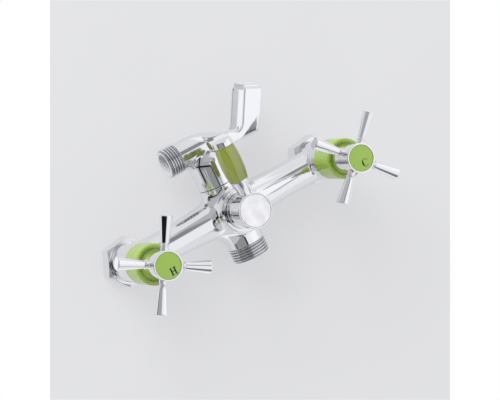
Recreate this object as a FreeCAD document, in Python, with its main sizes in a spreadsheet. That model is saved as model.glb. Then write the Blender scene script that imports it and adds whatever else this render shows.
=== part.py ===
import FreeCAD, Part
import math
import os
import Sketcher

V = FreeCAD.Vector

ARMS = 4
SPLINE_TEETH = 20

# The most of a wall that its fillet takes up
FILLET_SHARE = 0.85

# How far a cutting shape reaches past what it cuts
OVER = 1.0

# A cut that goes right through, in lengths of what it cuts
THROUGH = 3

# Driving dimensions, in millimetres and degrees

SIZES = {
    # layout: the wall plane is Y = 0, depths are counted from it towards the user
    "inlet_spacing": 150.0,
    "axis_depth": 22.0,
    # union nuts, inlet nipples and washers
    "nut_flats": 30.0,
    "nut_length": 12.5,
    "nut_turn": 8.0,
    "nut_bevel": 30.0,
    "nut_face_inset": 0.4,
    "inlet_crest_radius": 12.06,
    "inlet_root_radius": 13.22,
    "inlet_thread_length": 5.4,
    "thread_pitch": 1.814,
    "crest_width": 0.5,
    "root_width": 0.3,
    "nipple_shank_radius": 9.9,
    "nipple_length": 10.0,
    "nipple_key_flats": 12.0,
    "flange_play": 0.36,
    "flange_thickness": 2.2,
    "washer_thickness": 2.0,
    "washer_bore": 8.0,
    "nut_web": 2.6,
    "nut_recess_radius": 12.6,
    "nut_play": 0.1,
    "nut_gap": 0.3,
    # cast body
    "boss_radius": 13.5,
    "boss_front": 39.0,
    "tube_radius": 11.2,
    "tube_waist": 46.0,
    "hub_flare_radius": 13.0,
    "hub_flare_start": 17.0,
    "tube_flare_bow": 1.2,
    "hub_radius": 14.2,
    "hub_back": 3.6,
    "hub_ring_radius": 15.0,
    "hub_ring_back": 41.5,
    "hub_front": 45.0,
    "hub_ring_bevel": 1.0,
    "neck_radius": 13.6,
    "neck_top": 19.5,
    "stub_radius": 12.9,
    "stub_thread_top": 24.2,
    "stub_end": 34.0,
    "stub_bevel": 0.8,
    "neck_fillet": 4.0,
    "tube_fillet": 3.0,
    "boss_fillet": 2.0,
    "nut_relief": 0.5,
    # passages in the body
    "seat_depth": 21.0,
    "seat_passage_radius": 6.0,
    "head_chamber_radius": 9.4,
    "gallery_radius": 4.5,
    "gallery_depth": 24.0,
    "gallery_end_wall": 2.2,
    "chamber_radius": 10.0,
    "chamber_back": 9.0,
    "gland_radius": 11.0,
    "gland_back": 33.6,
    "spout_bore": 8.0,
    "port_web": 2.2,
    "shower_bore": 5.0,
    # headworks: seat seal, ceramic discs, bonnet and spindle
    "seal_thickness": 1.8,
    "seal_bore": 4.8,
    "disc_radius": 6.6,
    "disc_thickness": 2.8,
    "disc_port_radius": 4.6,
    "disc_port_web": 0.8,
    "moving_disc_play": 0.2,
    "nose_wall": 1.2,
    "nose_lift": 0.6,
    "thread_fit": 0.05,
    "running_fit": 0.05,
    "bonnet_thread_length": 6.0,
    "bonnet_flange_radius": 10.6,
    "bonnet_flange": 2.2,
    "bonnet_flats": 17.0,
    "bonnet_hex": 5.8,
    "bonnet_collar_radius": 7.5,
    "bonnet_collar": 3.4,
    "window_width": 7.0,
    "window_height": 3.6,
    "window_rim": 0.6,
    "spindle_radius": 5.0,
    "spindle_foot_radius": 6.2,
    "spindle_foot": 2.0,
    "spindle_key_width": 2.4,
    "spindle_key_length": 8.0,
    "spindle_key_height": 1.3,
    "spindle_neck_radius": 3.2,
    "spindle_plate_radius": 4.6,
    "spindle_plate": 1.0,
    "spline_radius": 3.95,
    "spline_depth": 0.5,
    "spline_setback": 1.0,
    "clip_thickness": 0.9,
    "clip_radius": 6.6,
    "clip_groove_depth": 0.9,
    "clip_shoulder": 0.9,
    "clip_opening": 5.0,
    "ring_section": 1.3,
    "ring_depth": 1.3,
    "ring_nip": 0.02,
    "ring_side_play": 0.5,
    "ring_inset": 2.2,
    "ring_spacing": 4.6,
    "gasket_thickness": 0.6,
    # green sleeves and cross handles
    "sleeve_length": 21.0,
    "sleeve_bore_radius": 11.2,
    "sleeve_lip": 2.4,
    "sleeve_lip_gap": 0.45,
    "sleeve_edge": 1.3,
    "sleeve_lip_edge": 0.4,
    "handle_overlap": 4.2,
    "handle_skirt_radius": 10.5,
    "handle_skirt": 10.2,
    "handle_shoulder_bow": 0.5,
    "handle_neck_radius": 9.4,
    "handle_nose": 5.9,
    "handle_skirt_wall": 1.3,
    "handle_cavity": 7.0,
    "handle_web": 3.6,
    "handle_recess_radius": 8.2,
    "arm_rise": 9.0,
    "arm_reach": 31.6,
    "arm_seat": 9.0,
    "arm_stud_radius": 2.0,
    "arm_stud": 3.6,
    "arm_root_radius": 2.7,
    "arm_tip_radius": 4.5,
    "arm_groove_radius": 2.25,
    "arm_groove": 11.2,
    "arm_groove_width": 0.8,
    "arm_bead_radius": 3.1,
    "arm_bead": 1.3,
    "arm_end_round": 0.9,
    "hot_arm_turn": 29.8,
    "cold_arm_turn": 45.0,
    "cap_radius": 9.9,
    "cap_height": 2.4,
    "cap_rim": 1.15,
    "cap_edge": 0.4,
    "cap_floor": 1.1,
    "cap_plug": 1.2,
    "cap_plug_wall": 1.1,
    "index_thickness": 0.9,
    "screw_radius": 2.0,
    "screw_head_radius": 3.6,
    "screw_head": 2.3,
    "screw_key_depth": 1.4,
    "head_play": 0.2,
    "screw_hole_depth": 12.0,
    "screw_tip_gap": 1.0,
    "screw_key_flats": 2.5,
    # ball diverter in the middle of the body
    "ball_radius": 9.0,
    "ball_port_radius": 5.0,
    "ball_flat": 1.6,
    "seat_ring_radius": 7.5,
    "seat_ring_top": 12.8,
    "stem_flange_radius": 7.0,
    "stem_flange": 2.0,
    "stem_radius": 5.0,
    "stem_square": 7.0,
    "stem_end": 57.5,
    "tongue_width": 2.6,
    "tongue_height": 1.3,
    "gland_flange_radius": 12.4,
    "gland_flange": 1.3,
    "knob_radius": 11.9,
    "knob_back": 47.3,
    "knob_front": 65.0,
    "knob_edge": 0.5,
    "knob_cavity_radius": 9.4,
    "knob_cavity": 3.2,
    "knob_web": 2.4,
    "plug_radius": 10.9,
    "plug_thickness": 1.8,
    "plug_edge": 0.3,
    "plug_ring_radius": 7.2,
    "plug_ring_width": 0.8,
    "plug_ring_height": 0.25,
    # diverter lever
    "lever_depth": 60.6,
    "lever_tilt": 1.9,
    "lever_stud_radius": 2.1,
    "lever_stud_seat": 7.4,
    "lever_neck_radius": 3.9,
    "lever_neck": 11.2,
    "lever_collar_radius": 6.2,
    "lever_rim": 0.8,
    "lever_bow": 0.5,
    "lever_tenon": 3.0,
    "grip_start": 22.2,
    "grip_end": 46.6,
    "grip_end_radius": 6.25,
    "grip_mid_radius": 7.45,
    "grip_bore": 2.6,
    "lever_cap_radius": 6.75,
    "lever_cap": 4.1,
    "lever_cap_edge": 1.2,
    "lever_cap_dome": 0.3,
    # swivelling shower bracket with hose nipple and handset fork
    "spigot_radius": 9.0,
    "spigot_top": 33.0,
    "spigot_wall": 3.0,
    "bracket_gap": 0.3,
    "bracket_axis": 47.5,
    "block_radius": 10.0,
    "block_left": 18.0,
    "block_right": 14.0,
    "hose_crest_radius": 10.48,
    "hose_root_radius": 9.32,
    "hose_thread_length": 10.0,
    "hose_bore": 7.2,
    "hose_bore_step": 2.0,
    "slope_start": 1.3,
    "slope_top": 57.3,
    "slope_angle": 24.3,
    "bracket_ring_inset": 2.0,
    "sleeve_shoulder": 36.8,
    "sleeve_dome": 8.2,
    "latch_groove_width": 3.2,
    "latch_groove_depth": 1.1,
    "latch_height": 26.4,
    "latch_radius": 2.0,
    "latch_point_radius": 1.2,
    "latch_point_gap": 0.25,
    "latch_sink": 0.45,
    "latch_key_flats": 2.0,
    "latch_key_depth": 2.0,
    "fork_start": 2.0,
    "fork_rise": 1.9,
    "fork_throat": 27.05,
    "fork_heel": 12.1,
    "fork_heel_drop": 0.3,
    "fork_knee": 15.0,
    "fork_knee_height": 25.6,
    "fork_tip_start": 3.4,
    "fork_tip_end": 15.2,
    "fork_height": 33.3,
    "fork_width": 23.5,
    "fork_taper": 15.0,
    "fork_gap": 18.5,
    "fork_floor_drop": 0.2,
    "fork_slot_start": 8.0,
    "fork_curl": 6.0,
    "fork_inner_curl": 3.4,
    "fork_bottom_round": 3.0,
    "fork_throat_round": 6.8,
    "fork_floor_round": 3.0,
    "bracket_fillet": 3.0,
}

document = FreeCAD.newDocument("bath_mixer")
sheet = document.addObject("Spreadsheet::Sheet", "Sizes")
for row, (alias, value) in enumerate(SIZES.items(), start=1):
    sheet.set("A%d" % row, alias)
    sheet.set("B%d" % row, str(value))
    sheet.setAlias("B%d" % row, alias)
document.recompute()


class Size:
    """A value together with the sheet expression that gives it."""

    def __init__(self, value, text):
        self.value = value
        self.text = text

    def __add__(self, other):
        other = as_size(other)
        return Size(self.value + other.value, "(%s + %s)" % (self.text, other.text))

    def __sub__(self, other):
        other = as_size(other)
        return Size(self.value - other.value, "(%s - %s)" % (self.text, other.text))

    def __mul__(self, other):
        other = as_size(other)
        return Size(self.value * other.value, "(%s * %s)" % (self.text, other.text))

    def __truediv__(self, other):
        other = as_size(other)
        return Size(self.value / other.value, "(%s / %s)" % (self.text, other.text))

    def __radd__(self, other):
        return as_size(other) + self

    def __rsub__(self, other):
        return as_size(other) - self

    def __rmul__(self, other):
        return as_size(other) * self

    def __neg__(self):
        return as_size(0) - self


def as_size(number):
    if isinstance(number, Size):
        return number
    return Size(float(number), repr(float(number)))


def of(alias):
    """The size under this alias of the sheet."""
    return Size(float(sheet.get(alias)), "Sizes." + alias)


def sine(size):
    return Size(math.sin(math.radians(size.value)), "sin(%s)" % size.text)


def cosine(size):
    return Size(math.cos(math.radians(size.value)), "cos(%s)" % size.text)


def tangent(size):
    return Size(math.tan(math.radians(size.value)), "tan(%s)" % size.text)


def root_of(size):
    return Size(math.sqrt(size.value), "sqrt(%s)" % size.text)


def lesser(first, second):
    return Size(min(first.value, second.value), "min(%s; %s)" % (first.text, second.text))


def bow_radius(chord, rise):
    """Radius of the arc that stands this high over its chord."""
    return (chord * chord / 4 + rise * rise) / (rise * 2)


# Placements: every turned piece is drawn upright about its own Z axis

FRONT = (V(1, 0, 0), 90.0)
BACK = (V(1, 0, 0), -90.0)
UPRIGHT = (V(0, 0, 1), 0.0)


def place(thing, x, y, z, turn=UPRIGHT):
    """Puts a piece in the mixer's frame; the turn is an axis and an angle."""
    axis, angle = turn
    thing.Placement = FreeCAD.Placement(V(0, 0, 0), FreeCAD.Rotation(axis, as_size(angle).value))
    for name, size in (("x", x), ("y", y), ("z", z)):
        thing.setExpression("Placement.Base." + name, as_size(size).text)
    if isinstance(angle, Size):
        thing.setExpression("Placement.Rotation.Angle", angle.text)


def new_body(label, x=0, y=0, z=0, turn=UPRIGHT):
    body = document.addObject("PartDesign::Body", label)
    body.Label = label
    place(body, x, y, z, turn)
    return body


# Sketches: closed outlines of lines and arcs, every corner bound to the sheet


def arc_edge(start, end, radius, hollow):
    """The short arc between two corners, bulging to the right of the way, or to the left if hollow."""
    middle = (start + end) / 2
    way = end - start
    left = V(-way.y, way.x, 0).normalize()
    rise = math.sqrt(max(radius * radius - way.Length ** 2 / 4, 0))
    side = -1 if hollow else 1
    centre = middle + left * rise * side
    first, last = (end, start) if hollow else (start, end)
    angles = [math.atan2(p.y - centre.y, p.x - centre.x) for p in (first, last)]
    circle = Part.Circle(centre, V(0, 0, 1), radius)
    return Part.ArcOfCircle(circle, angles[0], angles[1])


def outline_sketch(body, name, role, corners, lift=0, shift=None, spin=None):
    """A closed outline; a corner is (across, up), or (across, up, radius[, "hollow"]) after an arc."""
    sketch = body.newObject("Sketcher::SketchObject", name)
    plane = [feature for feature in body.Origin.OriginFeatures if feature.Role == role][0]
    sketch.AttachmentSupport = [(plane, "")]
    sketch.MapMode = "FlatFace"
    corners = [tuple(as_size(n) for n in corner[:2]) + tuple(corner[2:]) for corner in corners]
    points = [V(corner[0].value, corner[1].value, 0) for corner in corners]
    count = len(points)
    starts = []
    edges = []
    for index in range(count):
        following = (index + 1) % count
        start, end = points[index], points[following]
        bend = corners[following][2:]
        if bend:
            hollow = len(bend) > 1
            edges.append(arc_edge(start, end, as_size(bend[0]).value, hollow))
            starts.append(2 if hollow else 1)
        else:
            edges.append(Part.LineSegment(start, end))
            starts.append(1)
    sketch.addGeometry(edges, False)
    rules = []
    texts = []
    for index in range(count):
        following = (index + 1) % count
        end_point = 3 - starts[index]
        rules.append(Sketcher.Constraint("Coincident", index, end_point, following, starts[following]))
        texts.append(None)
        for kind, number in (("DistanceX", 0), ("DistanceY", 1)):
            size = corners[index][number]
            rules.append(Sketcher.Constraint(kind, -1, 1, index, starts[index], size.value))
            texts.append(size.text)
        bend = corners[following][2:]
        if bend:
            radius = as_size(bend[0])
            rules.append(Sketcher.Constraint("Radius", index, radius.value))
            texts.append(radius.text)
    sketch.addConstraint(rules)
    for number, text in enumerate(texts):
        if text:
            sketch.setExpression("Constraints[%d]" % number, text)
    if shift is not None:
        for letter, size in zip("xy", shift):
            sketch.setExpression("AttachmentOffset.Base." + letter, as_size(size).text)
    sketch.setExpression("AttachmentOffset.Base.z", as_size(lift).text)
    if spin is not None:
        axis, angle = spin
        angle = as_size(angle)
        sketch.AttachmentOffset = FreeCAD.Placement(V(0, 0, 0), FreeCAD.Rotation(axis, angle.value))
        sketch.setExpression("AttachmentOffset.Rotation.Angle", angle.text)
    return sketch


def turned(body, name, corners, cut=False, role="XZ_Plane", axis="V_Axis", **where):
    """Revolves an outline about an axis of its sketch, to add or to cut."""
    sketch = outline_sketch(body, name + "_outline", role, corners, **where)
    feature = body.newObject("PartDesign::Groove" if cut else "PartDesign::Revolution", name)
    feature.Profile = sketch
    feature.ReferenceAxis = (sketch, [axis])
    feature.Angle = 360
    return feature


def extruded(body, name, corners, length, cut=False, both_ways=True, role="XY_Plane", **where):
    """Pushes an outline along its normal, or half of the length each way, to add or to cut."""
    sketch = outline_sketch(body, name + "_outline", role, corners, **where)
    feature = body.newObject("PartDesign::Pocket" if cut else "PartDesign::Pad", name)
    feature.Profile = sketch
    feature.setExpression("Length", as_size(length).text)
    if both_ways:
        feature.SideType = "Symmetric"
    elif cut:
        feature.Reversed = True
    return feature


def rounded(body, name, base, names, radius):
    """Fillets the named edges of the feature before."""
    feature = body.newObject("PartDesign::Fillet", name)
    feature.Base = (base, names)
    feature.setExpression("Radius", as_size(radius).text)
    return feature


def edges_where(shape, test):
    return ["Edge%d" % number for number, edge in enumerate(shape.Edges, start=1) if test(edge)]


def blend(body, name, last, added, radius):
    """Fillets the edges where these added shapes meet the body that was there before them."""
    document.recompute()
    pairs = [(feature.AddSubShape.transformed(feature.Placement.Matrix), feature.BaseFeature.Shape)
             for feature in added]

    def lies_on_both(edge):
        middle = Part.Vertex(edge.valueAt((edge.FirstParameter + edge.LastParameter) / 2))
        return any(all(middle.distToShape(solid)[0] < 0.005 for solid in pair) for pair in pairs)

    return rounded(body, name, last, edges_where(last.Shape, lies_on_both), radius)


def hexagon(flats, turn=0.0):
    """Corners of a regular hexagon with this size across its flats."""
    reach = flats / math.sqrt(3)
    turn = as_size(turn)
    corners = []
    for step in range(6):
        angle = turn + 60 * step
        corners.append((reach * cosine(angle), reach * sine(angle)))
    return corners


def rectangle(left, bottom, right, top):
    return [(left, bottom), (right, bottom), (right, top), (left, top)]


def star(tip_radius, root_radius, teeth):
    """Corners of a splined section."""
    corners = []
    for step in range(teeth * 2):
        radius = tip_radius if step % 2 == 0 else root_radius
        angle = math.pi * step / teeth
        corners.append((radius * math.cos(angle), radius * math.sin(angle)))
    return corners


def thread(crest, root, start, end):
    """Corners of a thread's section between two stations: flat crests with grooves between them."""
    pitch, flat, floor = of("thread_pitch"), of("crest_width"), of("root_width")
    way = 1 if end.value > start.value else -1
    flank = (pitch - flat - floor) / 2
    turns = max(math.ceil(abs(end.value - start.value) / pitch.value) - 1, 1)
    corners = [(crest, start)]
    for turn in range(turns):
        station = start + pitch * turn * way
        corners.append((crest, station + flat * way))
        corners.append((root, station + (flat + flank) * way))
        corners.append((root, station + (flat + flank + floor) * way))
        corners.append((crest, station + pitch * way))
    corners.append((crest, end))
    return corners


def ring_groove(radius, station):
    """Corners of an O-ring's groove that starts at this station of a shaft, going up."""
    floor = radius - of("ring_depth")
    width = of("ring_section") + of("ring_side_play")
    return [(radius, station), (floor, station), (floor, station + width), (radius, station + width)]


def ring_pair(label, radius, stations, x, y, z, turn=UPRIGHT):
    """Two O-rings on one shaft, each in the middle of its groove."""
    rings = []
    for station in stations:
        ring = document.addObject("Part::Torus", label + "_ring")
        middle = radius - of("ring_depth") + of("ring_section") / 2 + of("ring_nip")
        ring.setExpression("Radius1", middle.text)
        ring.setExpression("Radius2", (of("ring_section") / 2).text)
        height = station + (of("ring_section") + of("ring_side_play")) / 2
        ring.setExpression("Placement.Base.z", height.text)
        rings.append(ring)
    pair = document.addObject("Part::Compound", label)
    pair.Links = rings
    pair.Label = label
    place(pair, x, y, z, turn)
    return pair


def turned_ring(label, inner, outer, bottom, top, x, y, z, turn):
    body = new_body(label, x, y, z, turn)
    turned(body, label + "_ring", rectangle(inner, bottom, outer, top))
    return body


pieces = []


def keep(*things):
    pieces.extend(things)


# Stations along the inlet axes, counted from the wall plane

spacing = of("inlet_spacing")
axis_y = -of("axis_depth")
web_back = of("nut_length") - of("nut_web")
flange_front = web_back - of("nut_play")
flange_back = flange_front - of("flange_thickness")
washer_back = flange_back - of("washer_thickness")
flange_radius = of("inlet_crest_radius") - of("flange_play")
boss_back = of("nut_length") + of("nut_gap")
nipple_front = flange_front + of("nipple_length") - of("flange_thickness")

# Stations of the headwork

disc_back = of("seat_depth") + of("seal_thickness")
disc_middle = disc_back + of("disc_thickness")
disc_front = disc_middle + of("disc_thickness")
nose_radius = of("disc_radius") + of("running_fit") + of("nose_wall")
nose_bore = of("disc_radius") + of("running_fit")
flange_seat = of("boss_front") + of("gasket_thickness")
bonnet_hex_back = flange_seat + of("bonnet_flange")
bonnet_collar_back = bonnet_hex_back + of("bonnet_hex")
bonnet_front = bonnet_collar_back + of("bonnet_collar")
thread_back = of("boss_front") - of("bonnet_thread_length")
foot_back = thread_back + of("running_fit") * 2
foot_front = foot_back + of("spindle_foot")
clip_back = bonnet_front + of("running_fit") * 2
spline_start = clip_back + of("clip_thickness") + of("clip_shoulder")
head_rings = [foot_front + of("ring_inset"), foot_front + of("ring_inset") + of("ring_spacing")]

# Stations of the handles

handle_start = of("boss_front") + of("sleeve_length") - of("handle_overlap")
handle_shoulder = handle_start + of("handle_skirt")
arm_depth = handle_shoulder + of("arm_rise")
handle_front = arm_depth + of("handle_nose")
cap_face = handle_front + of("cap_height")
spline_end = arm_depth - of("spline_setback")
web_front = spline_end + of("running_fit") * 2 + of("handle_web")
cap_floor_front = handle_front + of("cap_floor")


def union_nut(label, x):
    body = new_body(label, x, 0, 0, FRONT)
    length = of("nut_length")
    flats = of("nut_flats")
    extruded(body, "hexagon", hexagon(flats, of("nut_turn")), length, both_ways=False)
    face_radius = flats / 2 - of("nut_face_inset")
    far = flats / math.sqrt(3) + OVER
    drop = (far - face_radius) * tangent(of("nut_bevel"))
    turned(body, "bevel", [(face_radius, length), (far, length - drop), (far, length)], cut=True)
    crest, root = of("inlet_crest_radius"), of("inlet_root_radius")
    hole = of("nipple_shank_radius") + of("nut_play")
    bore = [(0, 0)] + thread(crest, root, as_size(0), of("inlet_thread_length"))
    recess, thread_end = of("nut_recess_radius"), of("inlet_thread_length")
    bore += [(recess, thread_end), (recess, web_back), (hole, web_back), (hole, length), (0, length)]
    turned(body, "bore", bore, cut=True)
    return body


def inlet_nipple(label, x):
    body = new_body(label, x, 0, 0, FRONT)
    shank = of("nipple_shank_radius")
    turned(body, "shank", [(0, flange_back), (flange_radius, flange_back), (flange_radius, flange_front),
                           (shank, flange_front), (shank, nipple_front), (0, nipple_front)])
    extruded(body, "key_hole", hexagon(of("nipple_key_flats")), nipple_front * THROUGH, cut=True)
    return body


def half_moon(side):
    """A port on one side of a ceramic disc, clear of its middle line."""
    radius, web = of("disc_port_radius"), of("disc_port_web")
    half = root_of(radius * radius - web * web)
    return [(web * side, -half * side), (web * side, half * side, radius)]


def fixed_disc(label, x):
    body = new_body(label, x, 0, 0, FRONT)
    turned(body, "disc", rectangle(0, disc_back, of("disc_radius"), disc_middle))
    extruded(body, "port", half_moon(1), disc_middle * THROUGH, cut=True)
    return body


def moving_disc(label, x):
    body = new_body(label, x, 0, 0, FRONT)
    radius = of("disc_radius") - of("moving_disc_play")
    turned(body, "disc", rectangle(0, disc_middle, radius, disc_front))
    extruded(body, "port", half_moon(-1), disc_front * THROUGH, cut=True)
    half = of("spindle_key_width") / 2 + of("running_fit")
    floor = disc_front - of("spindle_key_height") - of("running_fit")
    slot = rectangle(-half, floor, half, disc_front + OVER)
    extruded(body, "key_slot", slot, radius * THROUGH, cut=True, role="XZ_Plane")
    return body


def spindle(label, x):
    body = new_body(label, x, 0, 0, FRONT)
    stem = of("spindle_radius")
    plate_front = disc_front + of("spindle_plate")
    groove = stem - of("clip_groove_depth")
    corners = [(0, disc_front), (of("spindle_plate_radius"), disc_front),
               (of("spindle_plate_radius"), plate_front), (of("spindle_neck_radius"), plate_front),
               (of("spindle_neck_radius"), foot_back), (of("spindle_foot_radius"), foot_back),
               (of("spindle_foot_radius"), foot_front), (stem, foot_front)]
    for station in head_rings:
        corners += ring_groove(stem, station)
    clip_front = clip_back + of("clip_thickness")
    corners += [(stem, clip_back), (groove, clip_back), (groove, clip_front), (stem, clip_front),
                (stem, spline_start), (0, spline_start)]
    turned(body, "stem", corners)
    half = of("spindle_key_width") / 2
    key_back = disc_front - of("spindle_key_height")
    key = rectangle(-half, key_back, half, disc_front + of("spindle_plate") / 2)
    extruded(body, "key", key, of("spindle_key_length"), role="XZ_Plane")
    spline = star(of("spline_radius"), of("spline_radius") - of("spline_depth"), SPLINE_TEETH)
    extruded(body, "spline", spline, spline_end - spline_start, both_ways=False, lift=spline_start)
    bore = of("screw_radius") + of("thread_fit")
    bore_back = spline_end - of("screw_hole_depth")
    turned(body, "screw_hole", rectangle(0, bore_back, bore, spline_end + OVER), cut=True)
    return body


def snap_clip(label, x, groove_back, shaft):
    """An open spring clip in a shaft's groove."""
    body = new_body(label, x, 0, 0, FRONT)
    fit = of("running_fit")
    inner = shaft - of("clip_groove_depth") + fit
    front = groove_back + of("clip_thickness") - fit
    turned(body, "clip", rectangle(inner, groove_back + fit, of("clip_radius"), front))
    half = of("clip_opening") / 2
    mouth = rectangle(0, -half, of("clip_radius") + OVER, half)
    extruded(body, "mouth", mouth, front * THROUGH, cut=True)
    return body


def bonnet(label, x):
    body = new_body(label, x, 0, 0, FRONT)
    nose_back = of("seat_depth") + of("nose_lift")
    shank = of("head_chamber_radius") - of("thread_fit")
    flange = of("bonnet_flange_radius")
    collar = of("bonnet_collar_radius")
    bore = of("spindle_radius") + of("running_fit")
    shoulder = foot_front + of("running_fit")
    turned(body, "casing", [
        (nose_bore, nose_back), (nose_radius, nose_back), (nose_radius, thread_back), (shank, thread_back),
        (shank, flange_seat), (flange, flange_seat), (flange, bonnet_hex_back), (collar, bonnet_hex_back),
        (collar, bonnet_front), (bore, bonnet_front), (bore, shoulder), (nose_bore, shoulder)])
    corners = hexagon(of("bonnet_flats"))
    extruded(body, "hexagon", corners, of("bonnet_hex"), both_ways=False, lift=bonnet_hex_back)
    turned(body, "stem_bore", rectangle(0, bonnet_hex_back, bore, bonnet_front + OVER), cut=True)
    half = of("window_width") / 2
    top = thread_back - of("window_rim")
    window = rectangle(-half, top - of("window_height"), half, top)
    extruded(body, "windows", window, of("boss_radius") * 2, cut=True, role="YZ_Plane")
    return body


def sleeve(label, x):
    """Green plastic sleeve over the bonnet, with a rounded front edge."""
    body = new_body(label, x, 0, 0, FRONT)
    back = of("boss_front")
    front = back + of("sleeve_length")
    outer = of("boss_radius")
    edge = of("sleeve_edge")
    seat = of("bonnet_flange_radius") + of("thread_fit")
    lip = of("handle_skirt_radius") + of("sleeve_lip_gap")
    lip_back = front - of("sleeve_lip")
    turned(body, "shell", [
        (seat, back), (outer, back), (outer, front - edge), (outer - edge, front, edge),
        (lip + of("sleeve_lip_edge"), front), (lip, front - of("sleeve_lip_edge")), (lip, lip_back),
        (of("sleeve_bore_radius"), lip_back), (of("sleeve_bore_radius"), bonnet_hex_back),
        (seat, bonnet_hex_back)])
    return body


def handle_hub(label, x, arm_turn):
    """Chrome bell that takes the splined spindle, the four arms and the cap."""
    body = new_body(label, x, 0, 0, FRONT)
    skirt = of("handle_skirt_radius")
    neck = of("handle_neck_radius")
    start, front = handle_start, handle_front
    cavity_radius = skirt - of("handle_skirt_wall")
    cavity_front = start + of("handle_cavity")
    recess = of("handle_recess_radius")
    arm = arm_depth
    chord = arm - of("arm_root_radius") - handle_shoulder
    fall = skirt - neck
    waist = bow_radius(root_of(chord * chord + fall * fall), of("handle_shoulder_bow"))
    turned(body, "bell", [
        (0, cavity_front), (cavity_radius, cavity_front), (cavity_radius, start), (skirt, start),
        (skirt, handle_shoulder), (neck, arm - of("arm_root_radius"), waist), (neck, front),
        (recess, front), (recess, web_front), (0, web_front)])
    spline = star(of("spline_radius") + of("running_fit"),
                  of("spline_radius") - of("spline_depth") + of("running_fit"), SPLINE_TEETH)
    seat = spline_end + of("running_fit") * 2
    extruded(body, "spline_bore", spline, seat - cavity_front + OVER, cut=True, both_ways=False,
             lift=cavity_front - OVER)
    hole = of("screw_radius") + of("running_fit") * 2
    turned(body, "screw_hole", rectangle(0, seat - OVER, hole, web_front + OVER), cut=True)
    stud = of("arm_stud_radius") + of("thread_fit")
    stud_start = of("arm_seat") - of("arm_stud") - of("thread_fit")
    spot = of("arm_root_radius") + of("thread_fit")
    socket = turned(body, "arm_socket", [
        (stud_start, 0), (skirt + OVER, 0), (skirt + OVER, spot), (of("arm_seat"), spot),
        (of("arm_seat"), stud), (stud_start, stud)], cut=True, role="XY_Plane", axis="H_Axis",
        lift=arm, spin=(V(0, 0, 1), 90 - arm_turn))
    document.recompute()
    ring = body.newObject("PartDesign::PolarPattern", "arm_sockets")
    ring.Originals = [socket]
    ring.Axis = (socket.Profile[0], ["N_Axis"])
    ring.Angle = 360
    ring.Occurrences = ARMS
    body.Tip = ring
    return body


def handle_arm(label, x, angle):
    """One turned arm: a threaded stud, a bead between two grooves and a tapered grip."""
    body = new_body(label, x, -arm_depth, 0, (V(0, 1, 0), angle))
    seat, reach = of("arm_seat"), of("arm_reach")
    stud, root, tip = of("arm_stud_radius"), of("arm_root_radius"), of("arm_tip_radius")
    neck, bead = of("arm_groove_radius"), of("arm_bead_radius")
    groove = of("arm_groove")
    bead_start = groove + of("arm_groove_width")
    bead_end = bead_start + of("arm_bead")
    taper = bead_end + of("arm_groove_width")
    edge = of("arm_end_round")
    turned(body, "arm", [
        (0, seat - of("arm_stud")), (stud, seat - of("arm_stud")), (stud, seat), (root, seat),
        (root, groove), (neck, groove), (neck, bead_start), (bead, bead_start + of("arm_bead") / 2,
        of("arm_bead") / 2 + (bead - neck) / 2), (neck, bead_end, of("arm_bead") / 2 + (bead - neck) / 2),
        (neck, taper), (root, taper), (tip, reach - edge), (tip - edge, reach, edge), (0, reach)])
    return body


def cap_ring(label, x):
    """Chrome rim that clips into the hub and carries the coloured disc."""
    body = new_body(label, x, 0, 0, FRONT)
    outer = of("cap_radius")
    back, face = handle_front, cap_face
    plug = of("handle_recess_radius") - of("thread_fit")
    inner = outer - of("cap_rim")
    edge = of("cap_edge")
    turned(body, "rim", [
        (0, back), (plug - of("cap_plug_wall"), back), (plug - of("cap_plug_wall"), back - of("cap_plug")),
        (plug, back - of("cap_plug")), (plug, back), (outer, back), (outer, face - edge),
        (outer - edge, face, edge), (inner + edge / 2, face), (inner, face - edge / 2),
        (inner, cap_floor_front), (0, cap_floor_front)])
    return body


def index_disc(label, x):
    body = new_body(label, x, 0, 0, FRONT)
    radius = of("cap_radius") - of("cap_rim") - of("thread_fit")
    top = cap_floor_front + of("index_thickness")
    turned(body, "disc", rectangle(0, cap_floor_front, radius, top))
    return body


def cap_screw(label, x, shaft_end, head_back):
    """Socket screw along the axis, from the end of a shaft's hole to its head in front."""
    body = new_body(label, x, 0, 0, FRONT)
    shank, head = of("screw_radius"), of("screw_head_radius")
    tip = shaft_end - of("screw_hole_depth") + of("screw_tip_gap")
    head_front = head_back + of("screw_head")
    turned(body, "screw", [(0, tip), (shank, tip), (shank, head_back), (head, head_back),
                           (head, head_front), (0, head_front)])
    depth = of("screw_key_depth")
    extruded(body, "key_hole", hexagon(of("screw_key_flats")), depth + OVER, cut=True, both_ways=False,
             lift=head_front - depth)
    return body


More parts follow.
